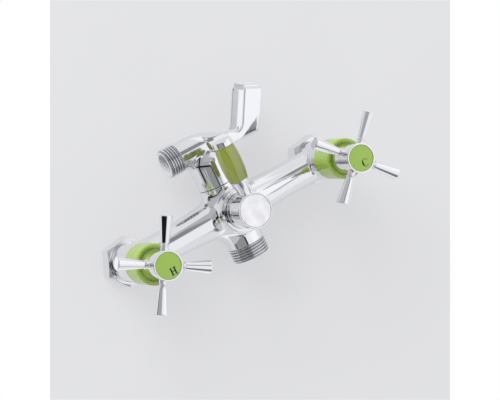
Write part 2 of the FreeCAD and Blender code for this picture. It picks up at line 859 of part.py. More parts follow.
def make_side(name, sign, arm_turn):
    """Everything on one inlet's axis."""
    x = spacing / 2 * sign
    keep(union_nut(name + "_union_nut", x))
    keep(inlet_nipple(name + "_inlet_nipple", x))
    keep(turned_ring(name + "_inlet_washer", of("washer_bore"), flange_radius, washer_back, flange_back,
                     x, 0, 0, FRONT))
    keep(turned_ring(name + "_seat_seal", of("seal_bore"), of("disc_radius"), of("seat_depth"), disc_back,
                     x, 0, 0, FRONT))
    keep(fixed_disc(name + "_fixed_disc", x))
    keep(moving_disc(name + "_moving_disc", x))
    keep(bonnet(name + "_bonnet", x))
    keep(turned_ring(name + "_bonnet_gasket", of("head_chamber_radius"), of("bonnet_flange_radius"),
                     of("boss_front"), flange_seat, x, 0, 0, FRONT))
    keep(spindle(name + "_spindle", x))
    keep(ring_pair(name + "_spindle_rings", of("spindle_radius"), head_rings, x, 0, 0, FRONT))
    keep(snap_clip(name + "_spindle_clip", x, clip_back, of("spindle_radius")))
    keep(sleeve(name + "_sleeve", x))
    keep(handle_hub(name + "_handle_hub", x, arm_turn))
    for number in range(ARMS):
        angle = arm_turn + 360.0 / ARMS * number
        keep(handle_arm("%s_handle_arm_%d" % (name, number + 1), x, angle))
    keep(cap_screw(name + "_handle_screw", x, spline_end, web_front))
    keep(cap_ring(name + "_cap_ring", x))
    keep(index_disc(name + "_index_disc", x))


# Cast body


def body_casting(label):
    """One casting: hub, neck with its spigot, spout stub, cross tube and the two inlet bosses."""
    body = new_body(label)
    half = spacing / 2
    hub, ring = of("hub_radius"), of("hub_ring_radius")
    bevel = of("hub_ring_bevel")
    front, ring_back, back = -of("hub_front"), -of("hub_ring_back"), -of("hub_back")
    turned(body, "hub", [
        (front, 0), (back, 0), (back, hub - bevel), (back - bevel, hub), (ring_back, hub),
        (ring_back - bevel, ring), (front + bevel, ring), (front, ring - bevel)],
        role="YZ_Plane", axis="H_Axis")
    crest, root = of("inlet_root_radius"), of("inlet_crest_radius")
    neck, stub = of("neck_radius"), of("stub_radius")
    spigot = of("spigot_radius")
    top = of("neck_top")
    latch, half_groove = of("latch_height"), of("latch_groove_width") / 2
    latch_floor = spigot - of("latch_groove_depth")
    end = -of("stub_end")
    corners = [(0, end), (root, end)]
    corners += thread(crest, root, end + of("stub_bevel"), -of("stub_thread_top"))
    corners += [(stub, -of("stub_thread_top")), (stub, 0), (neck, 0), (neck, top), (spigot, top)]
    corners += ring_groove(spigot, bracket_rings[0])
    corners += [(spigot, latch - half_groove), (latch_floor, latch - half_groove),
                (latch_floor, latch + half_groove), (spigot, latch + half_groove)]
    corners += ring_groove(spigot, bracket_rings[1])
    corners += [(spigot, of("spigot_top")), (0, of("spigot_top"))]
    upright = turned(body, "neck_and_stub", corners, lift=of("axis_depth"))
    wall = of("hub_ring_back") - bevel - of("axis_depth") - neck
    blend(body, "neck_fillets", upright, [upright], lesser(of("neck_fillet"), wall * FILLET_SHARE))
    tube_radius, flare = of("tube_radius"), of("hub_flare_radius")
    waist = of("tube_waist")
    start = of("hub_flare_start")
    run, rise = waist - start, flare - tube_radius
    bend = bow_radius(root_of(run * run + rise * rise), of("tube_flare_bow"))
    tube = turned(body, "tube", [
        (-half, 0), (half, 0), (half, tube_radius), (waist, tube_radius), (start, flare, bend, "hollow"),
        (-start, flare), (-waist, tube_radius, bend, "hollow"), (-half, tube_radius)],
        axis="H_Axis", lift=of("axis_depth"))
    wall = of("hub_ring_back") - bevel - of("axis_depth") - flare
    blend(body, "tube_fillets", tube, [tube], lesser(of("tube_fillet"), wall * FILLET_SHARE))
    boss = of("boss_radius")
    nut_reach = of("nut_flats") / math.sqrt(3) + of("nut_relief")
    bosses = []
    for name, sign in (("hot", -1), ("cold", 1)):
        outline = rectangle(-of("boss_front"), 0, OVER - boss_back, boss)
        bosses.append(turned(body, name + "_boss", outline, role="YZ_Plane", axis="H_Axis",
                             lift=half * sign))
    for name, sign in (("hot", -1), ("cold", 1)):
        relief = turned(body, name + "_nut_relief", rectangle(-boss_back, 0, OVER, nut_reach), cut=True,
                        role="YZ_Plane", axis="H_Axis", lift=half * sign)
    blend(body, "boss_fillets", relief, bosses, of("boss_fillet"))
    return body


def body_bores(body):
    """Water ways and seats inside the casting."""
    half = spacing / 2
    gallery_end = half - of("seat_passage_radius") - of("gallery_end_wall")
    chamber, passage = of("head_chamber_radius"), of("seat_passage_radius")
    thread_hole = of("nipple_shank_radius") + of("thread_fit")
    mouth, front = -boss_back + OVER, -of("boss_front") - OVER
    for name, sign in (("hot", -1), ("cold", 1)):
        turned(body, name + "_way", [
            (front, 0), (mouth, 0), (mouth, thread_hole), (-nipple_front, thread_hole),
            (-nipple_front, passage), (-of("seat_depth"), passage), (-of("seat_depth"), chamber),
            (front, chamber)], cut=True, role="YZ_Plane", axis="H_Axis", lift=half * sign)
    turned(body, "galleries", rectangle(-gallery_end, 0, gallery_end, of("gallery_radius")), cut=True,
           axis="H_Axis", lift=of("gallery_depth"))
    front = -of("hub_front") - OVER
    turned(body, "diverter_chamber", [
        (front, 0), (-of("chamber_back"), 0), (-of("chamber_back"), of("chamber_radius")),
        (-of("gland_back"), of("chamber_radius")), (-of("gland_back"), of("gland_radius")),
        (front, of("gland_radius"))], cut=True, role="YZ_Plane", axis="H_Axis")
    seat, port = of("seat_ring_radius"), of("ball_port_radius")
    seat_top = of("seat_ring_top")
    spout_shoulder = seat_top + of("port_web")
    spigot_bore = of("spigot_radius") - of("spigot_wall")
    low, high = -of("stub_end") - OVER, of("spigot_top") + OVER
    turned(body, "vertical_way", [
        (0, low), (of("spout_bore"), low), (of("spout_bore"), -spout_shoulder), (port, -spout_shoulder),
        (port, -seat_top), (seat, -seat_top), (seat, seat_top), (port, seat_top), (port, spout_shoulder),
        (spigot_bore, spout_shoulder), (spigot_bore, high), (0, high)],
        cut=True, lift=of("axis_depth"))


# Diverter

gland_flange_back = of("hub_front") + of("gasket_thickness")
gland_front = gland_flange_back + of("gland_flange")
stem_flange_front = of("gland_back") - of("running_fit") * 2
stem_flange_back = stem_flange_front - of("stem_flange")
stem_clip_back = gland_front + of("running_fit") * 2
square_start = stem_clip_back + of("clip_thickness") + of("clip_shoulder")
stem_rings = [of("gland_back") + of("ring_inset"), of("gland_back") + of("ring_inset") + of("ring_spacing")]
knob_web_front = of("stem_end") + of("running_fit") * 2 + of("knob_web")
plug_back = of("knob_front") - of("plug_thickness")
ball_front = of("axis_depth") + of("ball_radius") - of("ball_flat")
LEVER = (V(1, 0, 0), of("lever_tilt"))
bracket_rings = [of("neck_top") + of("bracket_ring_inset"),
                 of("spigot_top") - of("bracket_ring_inset") - of("ring_section") - of("ring_side_play")]


def diverter_ball(label):
    """Ball with a bent port: in at the back along its axis of rotation, out at one side."""
    body = new_body(label, 0, 0, 0, FRONT)
    radius, port = of("ball_radius"), of("ball_port_radius")
    middle = of("axis_depth")
    height = ball_front - middle
    flat_radius = root_of(radius * radius - height * height)
    turned(body, "ball", [(0, middle - radius), (radius, middle, radius), (flat_radius, ball_front, radius),
                          (0, ball_front)])
    turned(body, "back_port", rectangle(0, middle - radius - OVER, port, middle), cut=True)
    turned(body, "side_port", rectangle(0, 0, radius + OVER, port), cut=True, role="YZ_Plane",
           axis="H_Axis", shift=(0, middle))
    half = of("tongue_width") / 2 + of("running_fit")
    floor = ball_front - of("tongue_height") - of("running_fit")
    extruded(body, "slot", rectangle(-half, floor, half, ball_front + OVER), radius * THROUGH, cut=True,
             role="YZ_Plane")
    return body


def ball_seat(label, flip):
    """Plastic ring that seals the ball against the port above or below it."""
    body = new_body(label, 0, axis_y, 0, (V(1, 0, 0), flip))
    outer = of("seat_ring_radius") - of("thread_fit")
    inner = of("ball_port_radius")
    touch = of("ball_radius") + of("running_fit")
    top = of("seat_ring_top") - of("thread_fit")
    low = root_of(touch * touch - outer * outer)
    high = root_of(touch * touch - inner * inner)
    turned(body, "ring", [(outer, low, touch, "hollow"), (outer, top), (inner, top), (inner, high)])
    return body


def diverter_stem(label):
    body = new_body(label, 0, 0, 0, FRONT)
    stem, flange = of("stem_radius"), of("stem_flange_radius")
    groove = stem - of("clip_groove_depth")
    clip_front = stem_clip_back + of("clip_thickness")
    corners = [(0, stem_flange_back), (flange, stem_flange_back), (flange, stem_flange_front),
               (stem, stem_flange_front)]
    for station in stem_rings:
        corners += ring_groove(stem, station)
    corners += [(stem, stem_clip_back), (groove, stem_clip_back), (groove, clip_front), (stem, clip_front),
                (stem, square_start), (0, square_start)]
    turned(body, "stem", corners)
    half = of("tongue_width") / 2
    back = ball_front - of("tongue_height")
    extruded(body, "tongue", rectangle(-half, back, half, stem_flange_back + of("stem_flange") / 2),
             of("stem_radius") * 2, role="YZ_Plane")
    side = of("stem_square") / 2
    extruded(body, "square", rectangle(-side, -side, side, side), of("stem_end") - square_start,
             both_ways=False, lift=square_start)
    bore = of("screw_radius") + of("thread_fit")
    bore_back = of("stem_end") - of("screw_hole_depth")
    turned(body, "screw_hole", rectangle(0, bore_back, bore, of("stem_end") + OVER), cut=True)
    return body


def diverter_gland(label):
    body = new_body(label, 0, 0, 0, FRONT)
    bore = of("stem_radius") + of("running_fit")
    shank = of("gland_radius") - of("thread_fit")
    flange = of("gland_flange_radius")
    turned(body, "gland", [(bore, of("gland_back")), (shank, of("gland_back")), (shank, gland_flange_back),
                           (flange, gland_flange_back), (flange, gland_front), (bore, gland_front)])
    return body


def diverter_knob(label):
    """Chrome knob: square hole, screw web, a recess for its face plate and the lever's seat."""
    blank = new_body(label + "_blank", 0, 0, 0, FRONT)
    outer, back, front = of("knob_radius"), of("knob_back"), of("knob_front")
    cavity_radius, cavity_front = of("knob_cavity_radius"), of("knob_back") + of("knob_cavity")
    recess = of("plug_radius") + of("thread_fit")
    counterbore = of("screw_head_radius") + of("head_play")
    edge, rim_edge = of("knob_edge"), of("plug_edge")
    turned(blank, "knob", [
        (0, cavity_front), (cavity_radius, cavity_front), (cavity_radius, back), (outer, back),
        (outer, front - edge), (outer - edge, front, edge), (recess + rim_edge, front),
        (recess, front - rim_edge), (recess, plug_back), (counterbore, plug_back),
        (counterbore, knob_web_front), (0, knob_web_front)])
    side = of("stem_square") / 2 + of("running_fit")
    seat = of("stem_end") + of("running_fit") * 2
    extruded(blank, "square_hole", rectangle(-side, -side, side, side), seat - cavity_front + OVER,
             cut=True, both_ways=False, lift=cavity_front - OVER)
    hole = of("screw_radius") + of("running_fit") * 2
    turned(blank, "screw_hole", rectangle(0, seat - OVER, hole, knob_web_front + OVER), cut=True)
    tool = new_body(label + "_lever_seat", 0, -of("lever_depth"), 0, LEVER)
    stud = of("lever_stud_radius") + of("thread_fit")
    spot = of("lever_neck_radius") + of("thread_fit")
    start = of("lever_stud_seat") - of("thread_fit")
    turned(tool, "seat", [(0, start), (stud, start), (stud, of("lever_neck")), (spot, of("lever_neck")),
                          (spot, outer + OVER), (0, outer + OVER)])
    knob = document.addObject("Part::Cut", label)
    knob.Base = blank
    knob.Tool = tool
    knob.Label = label
    return knob


def knob_face(label):
    """Face plate pressed into the knob, with one raised ring."""
    body = new_body(label, 0, 0, 0, FRONT)
    radius, front = of("plug_radius"), of("knob_front")
    ring, top = of("plug_ring_radius"), of("knob_front") + of("plug_ring_height")
    outer_ring = ring + of("plug_ring_width")
    edge = of("plug_edge")
    slant = of("plug_ring_height")
    turned(body, "plate", [
        (0, plug_back), (radius, plug_back), (radius, front - edge), (radius - edge, front),
        (outer_ring, front), (outer_ring - slant, top), (ring + slant, top), (ring, front), (0, front)])
    return body


def lever_stem(label):
    """One turned piece: a threaded stud, the flared collar and the rod inside the grip."""
    body = new_body(label, 0, -of("lever_depth"), 0, LEVER)
    stud, neck, collar = of("lever_stud_radius"), of("lever_neck_radius"), of("lever_collar_radius")
    start, land = of("lever_stud_seat"), of("lever_neck")
    rim = of("grip_start") - of("lever_rim")
    rod = of("grip_bore") - of("running_fit")
    run, rise = rim - land, collar - neck
    bend = bow_radius(root_of(run * run + rise * rise), of("lever_bow"))
    turned(body, "stem", [
        (0, start), (stud, start), (stud, land), (neck, land), (collar, rim, bend, "hollow"),
        (collar, of("grip_start")), (rod, of("grip_start")), (rod, of("grip_end") + of("lever_tenon")),
        (0, of("grip_end") + of("lever_tenon"))])
    return body


def lever_grip(label):
    """Green barrel, widest in the middle."""
    body = new_body(label, 0, -of("lever_depth"), 0, LEVER)
    start, end = of("grip_start"), of("grip_end")
    bulge = bow_radius(end - start, of("grip_mid_radius") - of("grip_end_radius"))
    turned(body, "barrel", [(of("grip_bore"), start), (of("grip_end_radius"), start),
                            (of("grip_end_radius"), end, bulge), (of("grip_bore"), end)])
    return body


def lever_cap(label):
    body = new_body(label, 0, -of("lever_depth"), 0, LEVER)
    base = of("grip_end")
    radius, edge = of("lever_cap_radius"), of("lever_cap_edge")
    top = base + of("lever_cap")
    bore = of("grip_bore")
    floor = base + of("lever_tenon") + of("running_fit")
    dome = bow_radius((radius - edge) * 2, of("lever_cap_dome"))
    turned(body, "cap", [
        (bore, base), (radius, base), (radius, top - edge), (radius - edge, top, edge),
        (0, top + of("lever_cap_dome"), dome), (0, floor), (bore, floor)])
    return body


# Shower bracket: swivels on the spigot, carries the hose nipple and the handset fork

fork_x = of("fork_throat")
slope = of("slope_angle")


def slope_height(x):
    return of("slope_top") - (x + of("slope_start")) * tangent(slope)


def on_slope(along, height):
    """A point given from the fork's throat, down the slope and square to it."""
    x = fork_x + along * cosine(slope) + height * sine(slope)
    z = slope_height(fork_x) - along * sine(slope) + height * cosine(slope)
    return x, z


def handset_fork(label):
    """Two upright prongs with inward curled lips, over a sloping floor."""
    body = new_body(label)
    start, width = of("fork_start"), of("fork_width")
    bottom = of("bracket_axis") - of("block_radius") + of("fork_rise")
    height, lean = of("fork_height"), of("fork_tip_start")
    throat = of("fork_throat_round")
    edge = root_of(height * height + lean * lean)
    reach = throat * (edge - lean) / height
    corners = [(start, bottom), on_slope(of("fork_heel"), -of("fork_heel_drop")),
               on_slope(of("fork_knee"), of("fork_knee_height")),
               on_slope(of("fork_tip_end"), height), on_slope(lean, height),
               on_slope(reach * lean / edge, reach * height / edge),
               on_slope(-reach, 0) + (throat, "hollow"), (start, slope_height(start))]
    feature = extruded(body, "fork_side", corners, width, role="XZ_Plane", lift=of("axis_depth"))
    document.recompute()
    side = width.value / 2

    def is_side_edge(edge, low, high):
        """Edges within one of the two side faces whose ends lie between these heights."""
        ends = edge.Vertexes
        first, last = ends[0].Y - axis_y.value, ends[-1].Y - axis_y.value
        on_side = abs(first - last) < 0.01 and abs(abs(first) - side) < 0.01
        return on_side and all(low - OVER < end.Z < high + OVER for end in ends)

    low, high = bottom.value, corners[1][1].value
    names = edges_where(feature.Shape, lambda edge: is_side_edge(edge, low, high))
    feature = rounded(body, "bottom_round", feature, names, of("fork_bottom_round"))
    document.recompute()
    low, high = corners[3][1].value, corners[4][1].value
    names = edges_where(feature.Shape, lambda edge: is_side_edge(edge, low, high))
    rounded(body, "tip_curl", feature, names, of("fork_curl"))
    for name, way in (("rear", 1), ("front", -1)):
        line = axis_y + width / 2 * way
        root = axis_y + of("block_radius") * way
        clear = line + OVER * way
        taper_end = start + of("fork_taper")
        taper = [(start - OVER, clear), (start - OVER, root), (start, root), (taper_end, line),
                 (taper_end, clear)]
        extruded(body, name + "_taper", taper, of("bracket_axis") * THROUGH, cut=True)
    gap = of("fork_gap") / 2
    curl, floor_round = of("fork_inner_curl"), of("fork_floor_round")
    drop = of("fork_floor_drop")
    lip_base = height - of("fork_curl")
    top = height + OVER
    slot = [(floor_round - gap, -drop, floor_round), (gap - floor_round, -drop),
            (gap, floor_round - drop, floor_round), (gap, lip_base), (gap - curl, lip_base + curl, curl),
            (gap - curl, top), (curl - gap, top), (curl - gap, lip_base + curl), (-gap, lip_base, curl),
            (-gap, floor_round - drop)]
    back = of("fork_slot_start")
    slot_x, slot_z = on_slope(-back, 0)
    extruded(body, "slot", slot, back + of("fork_heel") * THROUGH, cut=True, both_ways=False,
             role="YZ_Plane", lift=slot_x, shift=(axis_y, slot_z), spin=(V(1, 0, 0), slope))
    return body


def shower_bracket(label):
    """Swivelling casting: hose nipple, sleeve over the spigot and the handset fork in one piece."""
    body = new_body(label)
    left, right = -of("block_left"), of("block_right")
    block, axis_z = of("block_radius"), of("bracket_axis")
    nipple_end = left - of("hose_thread_length")
    crest, root = of("hose_crest_radius"), of("hose_root_radius")
    corners = [(nipple_end, 0), (right, 0), (right, block), (left, block)]
    corners += [(station, radius) for radius, station in
                thread(crest, root, left, nipple_end + of("stub_bevel"))]
    corners += [(nipple_end, root)]
    turned(body, "block", corners, axis="H_Axis", lift=of("axis_depth"), shift=(0, axis_z))
    bore = of("spigot_radius") + of("running_fit")
    outer = of("neck_radius")
    bottom = of("neck_top") + of("bracket_gap")
    shoulder, dome = of("sleeve_shoulder"), of("sleeve_dome")
    roof = of("spigot_top") + of("bracket_gap")
    way = of("spigot_radius") - of("spigot_wall")
    sleeve_part = turned(body, "neck_sleeve", [
        (0, bottom), (outer, bottom), (outer, shoulder), (outer - dome, shoulder + dome, dome),
        (0, shoulder + dome)], lift=of("axis_depth"))
    blend(body, "neck_fillet", sleeve_part, [sleeve_part], of("bracket_fillet"))
    join = body.newObject("PartDesign::Boolean", "fork_join")
    join.Type = "Fuse"
    join.addObject(handset_fork(label + "_fork"))
    edge, start = right + OVER, -of("slope_start") - OVER * 3
    high = axis_z + block * 2
    above = [(start, slope_height(start)), (edge, slope_height(edge)), (edge, high), (start, high)]
    extruded(body, "slope", above, block * THROUGH, cut=True, role="XZ_Plane", lift=of("axis_depth"))
    turned(body, "swivel_bore", [(0, bottom - OVER), (bore, bottom - OVER), (bore, roof), (way, roof),
                                 (way, axis_z), (0, axis_z)], cut=True, lift=of("axis_depth"))
    mouth, way_radius = of("hose_bore"), of("shower_bore")
    step = left + of("hose_bore_step")
    turned(body, "hose_bore", [(nipple_end - OVER, 0), (way, 0), (way, way_radius), (step, way_radius),
                               (step, mouth), (nipple_end - OVER, mouth)],
           cut=True, axis="H_Axis", lift=of("axis_depth"), shift=(0, axis_z))
    hole = of("latch_radius") + of("thread_fit")
    inner = axis_y + bore - OVER
    turned(body, "latch_hole", rectangle(inner, 0, axis_y + outer + OVER, hole), cut=True,
           role="YZ_Plane", axis="H_Axis", shift=(0, of("latch_height")))
    return body


def latch_screw(label):
    """Grub screw at the back, whose point runs in the spigot's groove."""
    body = new_body(label, 0, axis_y, of("latch_height"), BACK)
    point, thread_radius = of("latch_point_radius"), of("latch_radius")
    tip = of("spigot_radius") - of("latch_groove_depth") + of("latch_point_gap")
    shoulder = of("spigot_radius") + of("running_fit") * 3
    end = of("neck_radius") - of("latch_sink")
    turned(body, "screw", [(0, tip), (point, tip), (point, shoulder), (thread_radius, shoulder),
                           (thread_radius, end), (0, end)])
    depth = of("latch_key_depth")
    extruded(body, "key_hole", hexagon(of("latch_key_flats")), depth + OVER, cut=True, both_ways=False,
             lift=end - depth)
    return body


casting = body_casting("body_casting")
body_bores(casting)
keep(casting)
make_side("hot", -1, of("hot_arm_turn"))
make_side("cold", 1, of("cold_arm_turn"))
keep(diverter_ball("diverter_ball"))
keep(ball_seat("diverter_seat_top", 0))
keep(ball_seat("diverter_seat_bottom", 180))
keep(diverter_stem("diverter_stem"))
keep(ring_pair("diverter_stem_rings", of("stem_radius"), stem_rings, 0, 0, 0, FRONT))
keep(diverter_gland("diverter_gland"))
keep(turned_ring("diverter_gasket", of("gland_radius"), of("gland_flange_radius"), of("hub_front"),
                 gland_flange_back, 0, 0, 0, FRONT))
keep(snap_clip("diverter_stem_clip", 0, stem_clip_back, of("stem_radius")))
keep(diverter_knob("diverter_knob"))
keep(cap_screw("diverter_knob_screw", 0, of("stem_end"), knob_web_front))
keep(knob_face("diverter_knob_face"))
keep(lever_stem("lever_stem"))
keep(lever_grip("lever_grip"))
keep(lever_cap("lever_cap"))
keep(shower_bracket("shower_bracket"))
keep(ring_pair("bracket_rings", of("spigot_radius"), bracket_rings, 0, axis_y, 0))
keep(latch_screw("bracket_latch_screw"))

document.recompute()

for thing in document.Objects:
    if "Invalid" in thing.State or "Error" in thing.State:
        raise RuntimeError("%s failed: %s" % (thing.Label, thing.State))

for piece in pieces:
    if piece.Shape.isNull() or not piece.Shape.isValid():
        raise RuntimeError(piece.Label + " has no valid shape")

os.makedirs("parts", exist_ok=True)
for piece in pieces:
    piece.Shape.exportStep("parts/%s.step" % piece.Label)
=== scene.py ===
import math

import bmesh
import bpy
import numpy as np
from mathutils import Matrix, Quaternion, Vector


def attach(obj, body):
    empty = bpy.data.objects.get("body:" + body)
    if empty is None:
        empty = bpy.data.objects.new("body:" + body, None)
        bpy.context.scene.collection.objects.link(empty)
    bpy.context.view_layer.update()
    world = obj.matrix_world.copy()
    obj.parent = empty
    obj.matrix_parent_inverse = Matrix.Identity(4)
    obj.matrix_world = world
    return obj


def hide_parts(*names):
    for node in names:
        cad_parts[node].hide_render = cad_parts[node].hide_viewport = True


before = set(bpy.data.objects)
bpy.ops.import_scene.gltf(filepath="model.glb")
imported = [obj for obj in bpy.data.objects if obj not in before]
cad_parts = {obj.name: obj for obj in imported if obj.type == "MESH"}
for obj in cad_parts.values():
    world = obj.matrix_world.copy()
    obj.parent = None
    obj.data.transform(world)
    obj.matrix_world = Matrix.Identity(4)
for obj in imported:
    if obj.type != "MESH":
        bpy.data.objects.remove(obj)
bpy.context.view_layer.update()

# Lengths are in millimetres, and MM turns them into the scene's metres. Angles are in degrees
# where they aren't turned into radians. A depth is a distance out of the wall, along -Y.
MM = 0.001

# Where things sit
AXIS_DEPTH = 22.0
INLET_X = 75.0
HOT_ARMS = 29.8
COLD_ARMS = 45.0
ARM_DEPTH = 75.0
LEVER_DEPTH = 60.6
LEVER_TILT = 1.9
BRACKET_AXIS = 47.5

# The pipe threads, G3/4 and G1/2, with the pitch that both have
G34_CREST = 13.22
G34_ROOT = 12.06
G12_CREST = 10.48
G12_ROOT = 9.32
PITCH = 1.814

# The cast body
BOSS_RADIUS = 13.5
BOSS_FRONT = 39.0
BOSS_BACK = 12.8
TUBE_RADIUS = 11.2
TUBE_WAIST = 46.0
FLARE_RADIUS = 13.0
FLARE_START = 17.0
FLARE_REACH = 1.2
FLARE_SAG = 1.68
HUB_RADIUS = 14.2
HUB_BACK = 3.6
HUB_RING_BACK = 41.5
NECK_RADIUS = 13.6
NECK_TOP = 19.5
STUB_RADIUS = 12.9
STUB_THREAD = 24.2
STUB_THREAD_LENGTH = 9.6
CORE_FILLET = 4.0
TUBE_FILLET_LOW = 8.0
TUBE_FILLET_HIGH = 5.5
BOSS_FILLET = 2.6
CAST_CELL = 0.7
CAST_BOX = (-91.3, -43.2, -26.1), (91.3, -2.3, 21.2)

# The union nuts
NUT_FLATS = 30.0
NUT_LENGTH = 12.5
NUT_TURN = 8.0
NUT_RELIEF = 17.8
NUT_CORNER = 0.7
NUT_MOUTH = 10.2
NUT_BACK_MOUTH = 13.4
NUT_THREAD_END = 5.3

# The shower bracket
BLOCK_RADIUS = 10.0
BLOCK_LEFT = 18.0
BLOCK_RIGHT = 14.0
HOSE_BORE = 7.2
HOSE_THREAD_LENGTH = 9.5
SLEEVE_BOTTOM = 19.8
SLEEVE_TOP = 45.0
SLEEVE_DOME = 11.0
SLOPE_TOP = 57.3
SLOPE_START = 1.3
SLOPE = math.radians(24.3)
SLOPE_CROWN = 0.037
CROWN_END = 18.0
BRACKET_CELL = 0.5
BRACKET_BOX = (-20.3, -36.7, 17.8), (59.2, -7.3, 77.1)

# Its fork, in lengths along the slope, square to it, and across from the fork's middle
THROAT_X = 27.05
THROAT_ROUND = 6.8
FORK_LEAN = 3.4
FORK_BACK = ((12.1, -0.3), (15.0, 25.6), (15.3, 27.0), (15.0, 29.6), (14.0, 31.6), (12.4, 32.8))
FORK_TOP_END = 10.2
FORK_HEIGHT = 33.3
FORK_EDGE = 0.7
FORK_HALF = 11.75
FORK_GAP = 9.25
FORK_START = 2.0
FORK_TAPER = 15.0
FORK_CURL = 14.0
FORK_CURL_START = 27.3
FORK_CURL_TURN = math.radians(25)
FORK_INNER_CURL = 3.4
FORK_LIP = 30.7
FORK_MOUTH = 5.85
HEEL = ((2.2, -1.3), (11.1, 0.9), (11.2, 9.6))
HEEL_TURN = math.radians(20)

# The handles: radii, and stations out of the wall
COLLAR_FRONT = 60.0
BELL_FOOT = 10.5
BELL_NECK = 9.4
BELL_NECK_START = 72.3
CAP_BACK = 80.9
CAP_RADIUS = 9.9
CAP_FRONT = 83.3
DISC_BACK = 82.0
DISC_RADIUS = 8.7
DISC_FRONT = 82.9
LETTER_DEPTH = 82.93
HOT_LETTER = (-INLET_X + 1.7, -4.6)
COLD_LETTER = (INLET_X + 1.4, -3.9)

# The diverter: radii, stations of the knob out of the wall, and stations of the lever along it
GLAND_BACK = 33.6
KNOB_RADIUS = 11.9
PLATE_RADIUS = 10.9
PLATE_BACK = 63.2
KNOB_FRONT = 65.0
GRIP_RADIUS = 6.25
GRIP_START = 22.2
GRIP_END = 46.6


# Materials


def node_material(name, metallic, roughness, colour, **sockets):
    material = bpy.data.materials.new(name)
    material.use_nodes = True
    shader = material.node_tree.nodes["Principled BSDF"]
    shader.inputs["Base Color"].default_value = (*colour, 1)
    shader.inputs["Metallic"].default_value = metallic
    shader.inputs["Roughness"].default_value = roughness
    for socket, value in sockets.items():
        shader.inputs[socket.replace("_", " ")].default_value = value
    return material, shader


def noise(material, scale, detail=3.0, stretch=(1, 1, 1)):
    """A noise in the object's own coordinates; the scale is features per metre."""
    nodes, links = material.node_tree.nodes, material.node_tree.links
    place = nodes.new("ShaderNodeTexCoord")
    mapping = nodes.new("ShaderNodeMapping")
    mapping.inputs["Scale"].default_value = stretch
    texture = nodes.new("ShaderNodeTexNoise")
    texture.inputs["Scale"].default_value = scale
    texture.inputs["Detail"].default_value = detail
    links.new(place.outputs["Object"], mapping.inputs["Vector"])
    links.new(mapping.outputs["Vector"], texture.inputs["Vector"])
    return texture.outputs["Fac"]


def vary(material, shader, socket, factor, low, high):
    """Drives a shader value between low and high by a factor."""
    nodes, links = material.node_tree.nodes, material.node_tree.links
    spread = nodes.new("ShaderNodeMapRange")
    spread.inputs["From Min"].default_value = 0.35
    spread.inputs["From Max"].default_value = 0.65
    spread.inputs["To Min"].default_value = low
    spread.inputs["To Max"].default_value = high
    links.new(factor, spread.inputs["Value"])
    links.new(spread.outputs["Result"], shader.inputs[socket])


def tint(material, shader, factor, first, second, start=0.35, end=0.65):
    """Colours the surface between two colours by a factor."""
    nodes, links = material.node_tree.nodes, material.node_tree.links
    ramp = nodes.new("ShaderNodeValToRGB")
    for element, position, colour in zip(ramp.color_ramp.elements, (start, end), (first, second)):
        element.position = position
        element.color = (*colour, 1)
    links.new(factor, ramp.inputs["Fac"])
    links.new(ramp.outputs["Color"], shader.inputs["Base Color"])


def bumps(material, shader, layers):
    """Stacks noise heights on the normal; a layer is a factor, a strength and a height in metres."""
    nodes, links = material.node_tree.nodes, material.node_tree.links
    last = None
    for factor, strength, height in layers:
        bump = nodes.new("ShaderNodeBump")
        bump.inputs["Strength"].default_value = strength
        bump.inputs["Distance"].default_value = height
        links.new(factor, bump.inputs["Height"])
        if last:
            links.new(last.outputs["Normal"], bump.inputs["Normal"])
        last = bump
    links.new(last.outputs["Normal"], shader.inputs["Normal"])


def chrome_material(name, colour, roughness, wave):
    """Plated brass: a slow wave left by polishing, faint water marks and fine scratches."""
    material, shader = node_material(name, 1.0, roughness, colour)
    marks = noise(material, 140, 6)
    vary(material, shader, "Roughness", marks, roughness * 0.7, roughness * 1.7)
    slow = noise(material, 45, 1)
    scratches = noise(material, 900, 2, (1, 1, 8))
    bumps(material, shader, [(slow, 0.5, wave), (scratches, 0.05, 0.00001)])
    return material


def plastic_material(name, dark, light, roughness, glow):
    """Glossy moulded plastic with a faint cloud in its colour and a slow wave in its face."""
    material, shader = node_material(name, 0.0, roughness, light, Coat_Weight=0.6, Coat_Roughness=0.08,
                                     Coat_IOR=1.8, Specular_IOR_Level=0.8,
                                     Subsurface_Weight=glow, Subsurface_Scale=0.004)
    cloud = noise(material, 40, 2)
    tint(material, shader, cloud, dark, light, 0.2, 0.8)
    grain = noise(material, 300, 2)
    vary(material, shader, "Roughness", grain, roughness * 0.85, roughness * 1.2)
    peel = noise(material, 70, 1)
    bumps(material, shader, [(peel, 0.08, 0.00002)])
    return material


def plain_material(name, metallic, roughness, dark, light, scale, depth):
    """A cloud between two colours, and a finer grain in the roughness and the normal."""
    material, shader = node_material(name, metallic, roughness, light)
    cloud = noise(material, scale, 4)
    tint(material, shader, cloud, dark, light)
    grain = noise(material, scale * 6, 4)
    vary(material, shader, "Roughness", grain, roughness * 0.8, min(roughness * 1.3, 1))
    bumps(material, shader, [(grain, 0.3, depth)])
    return material


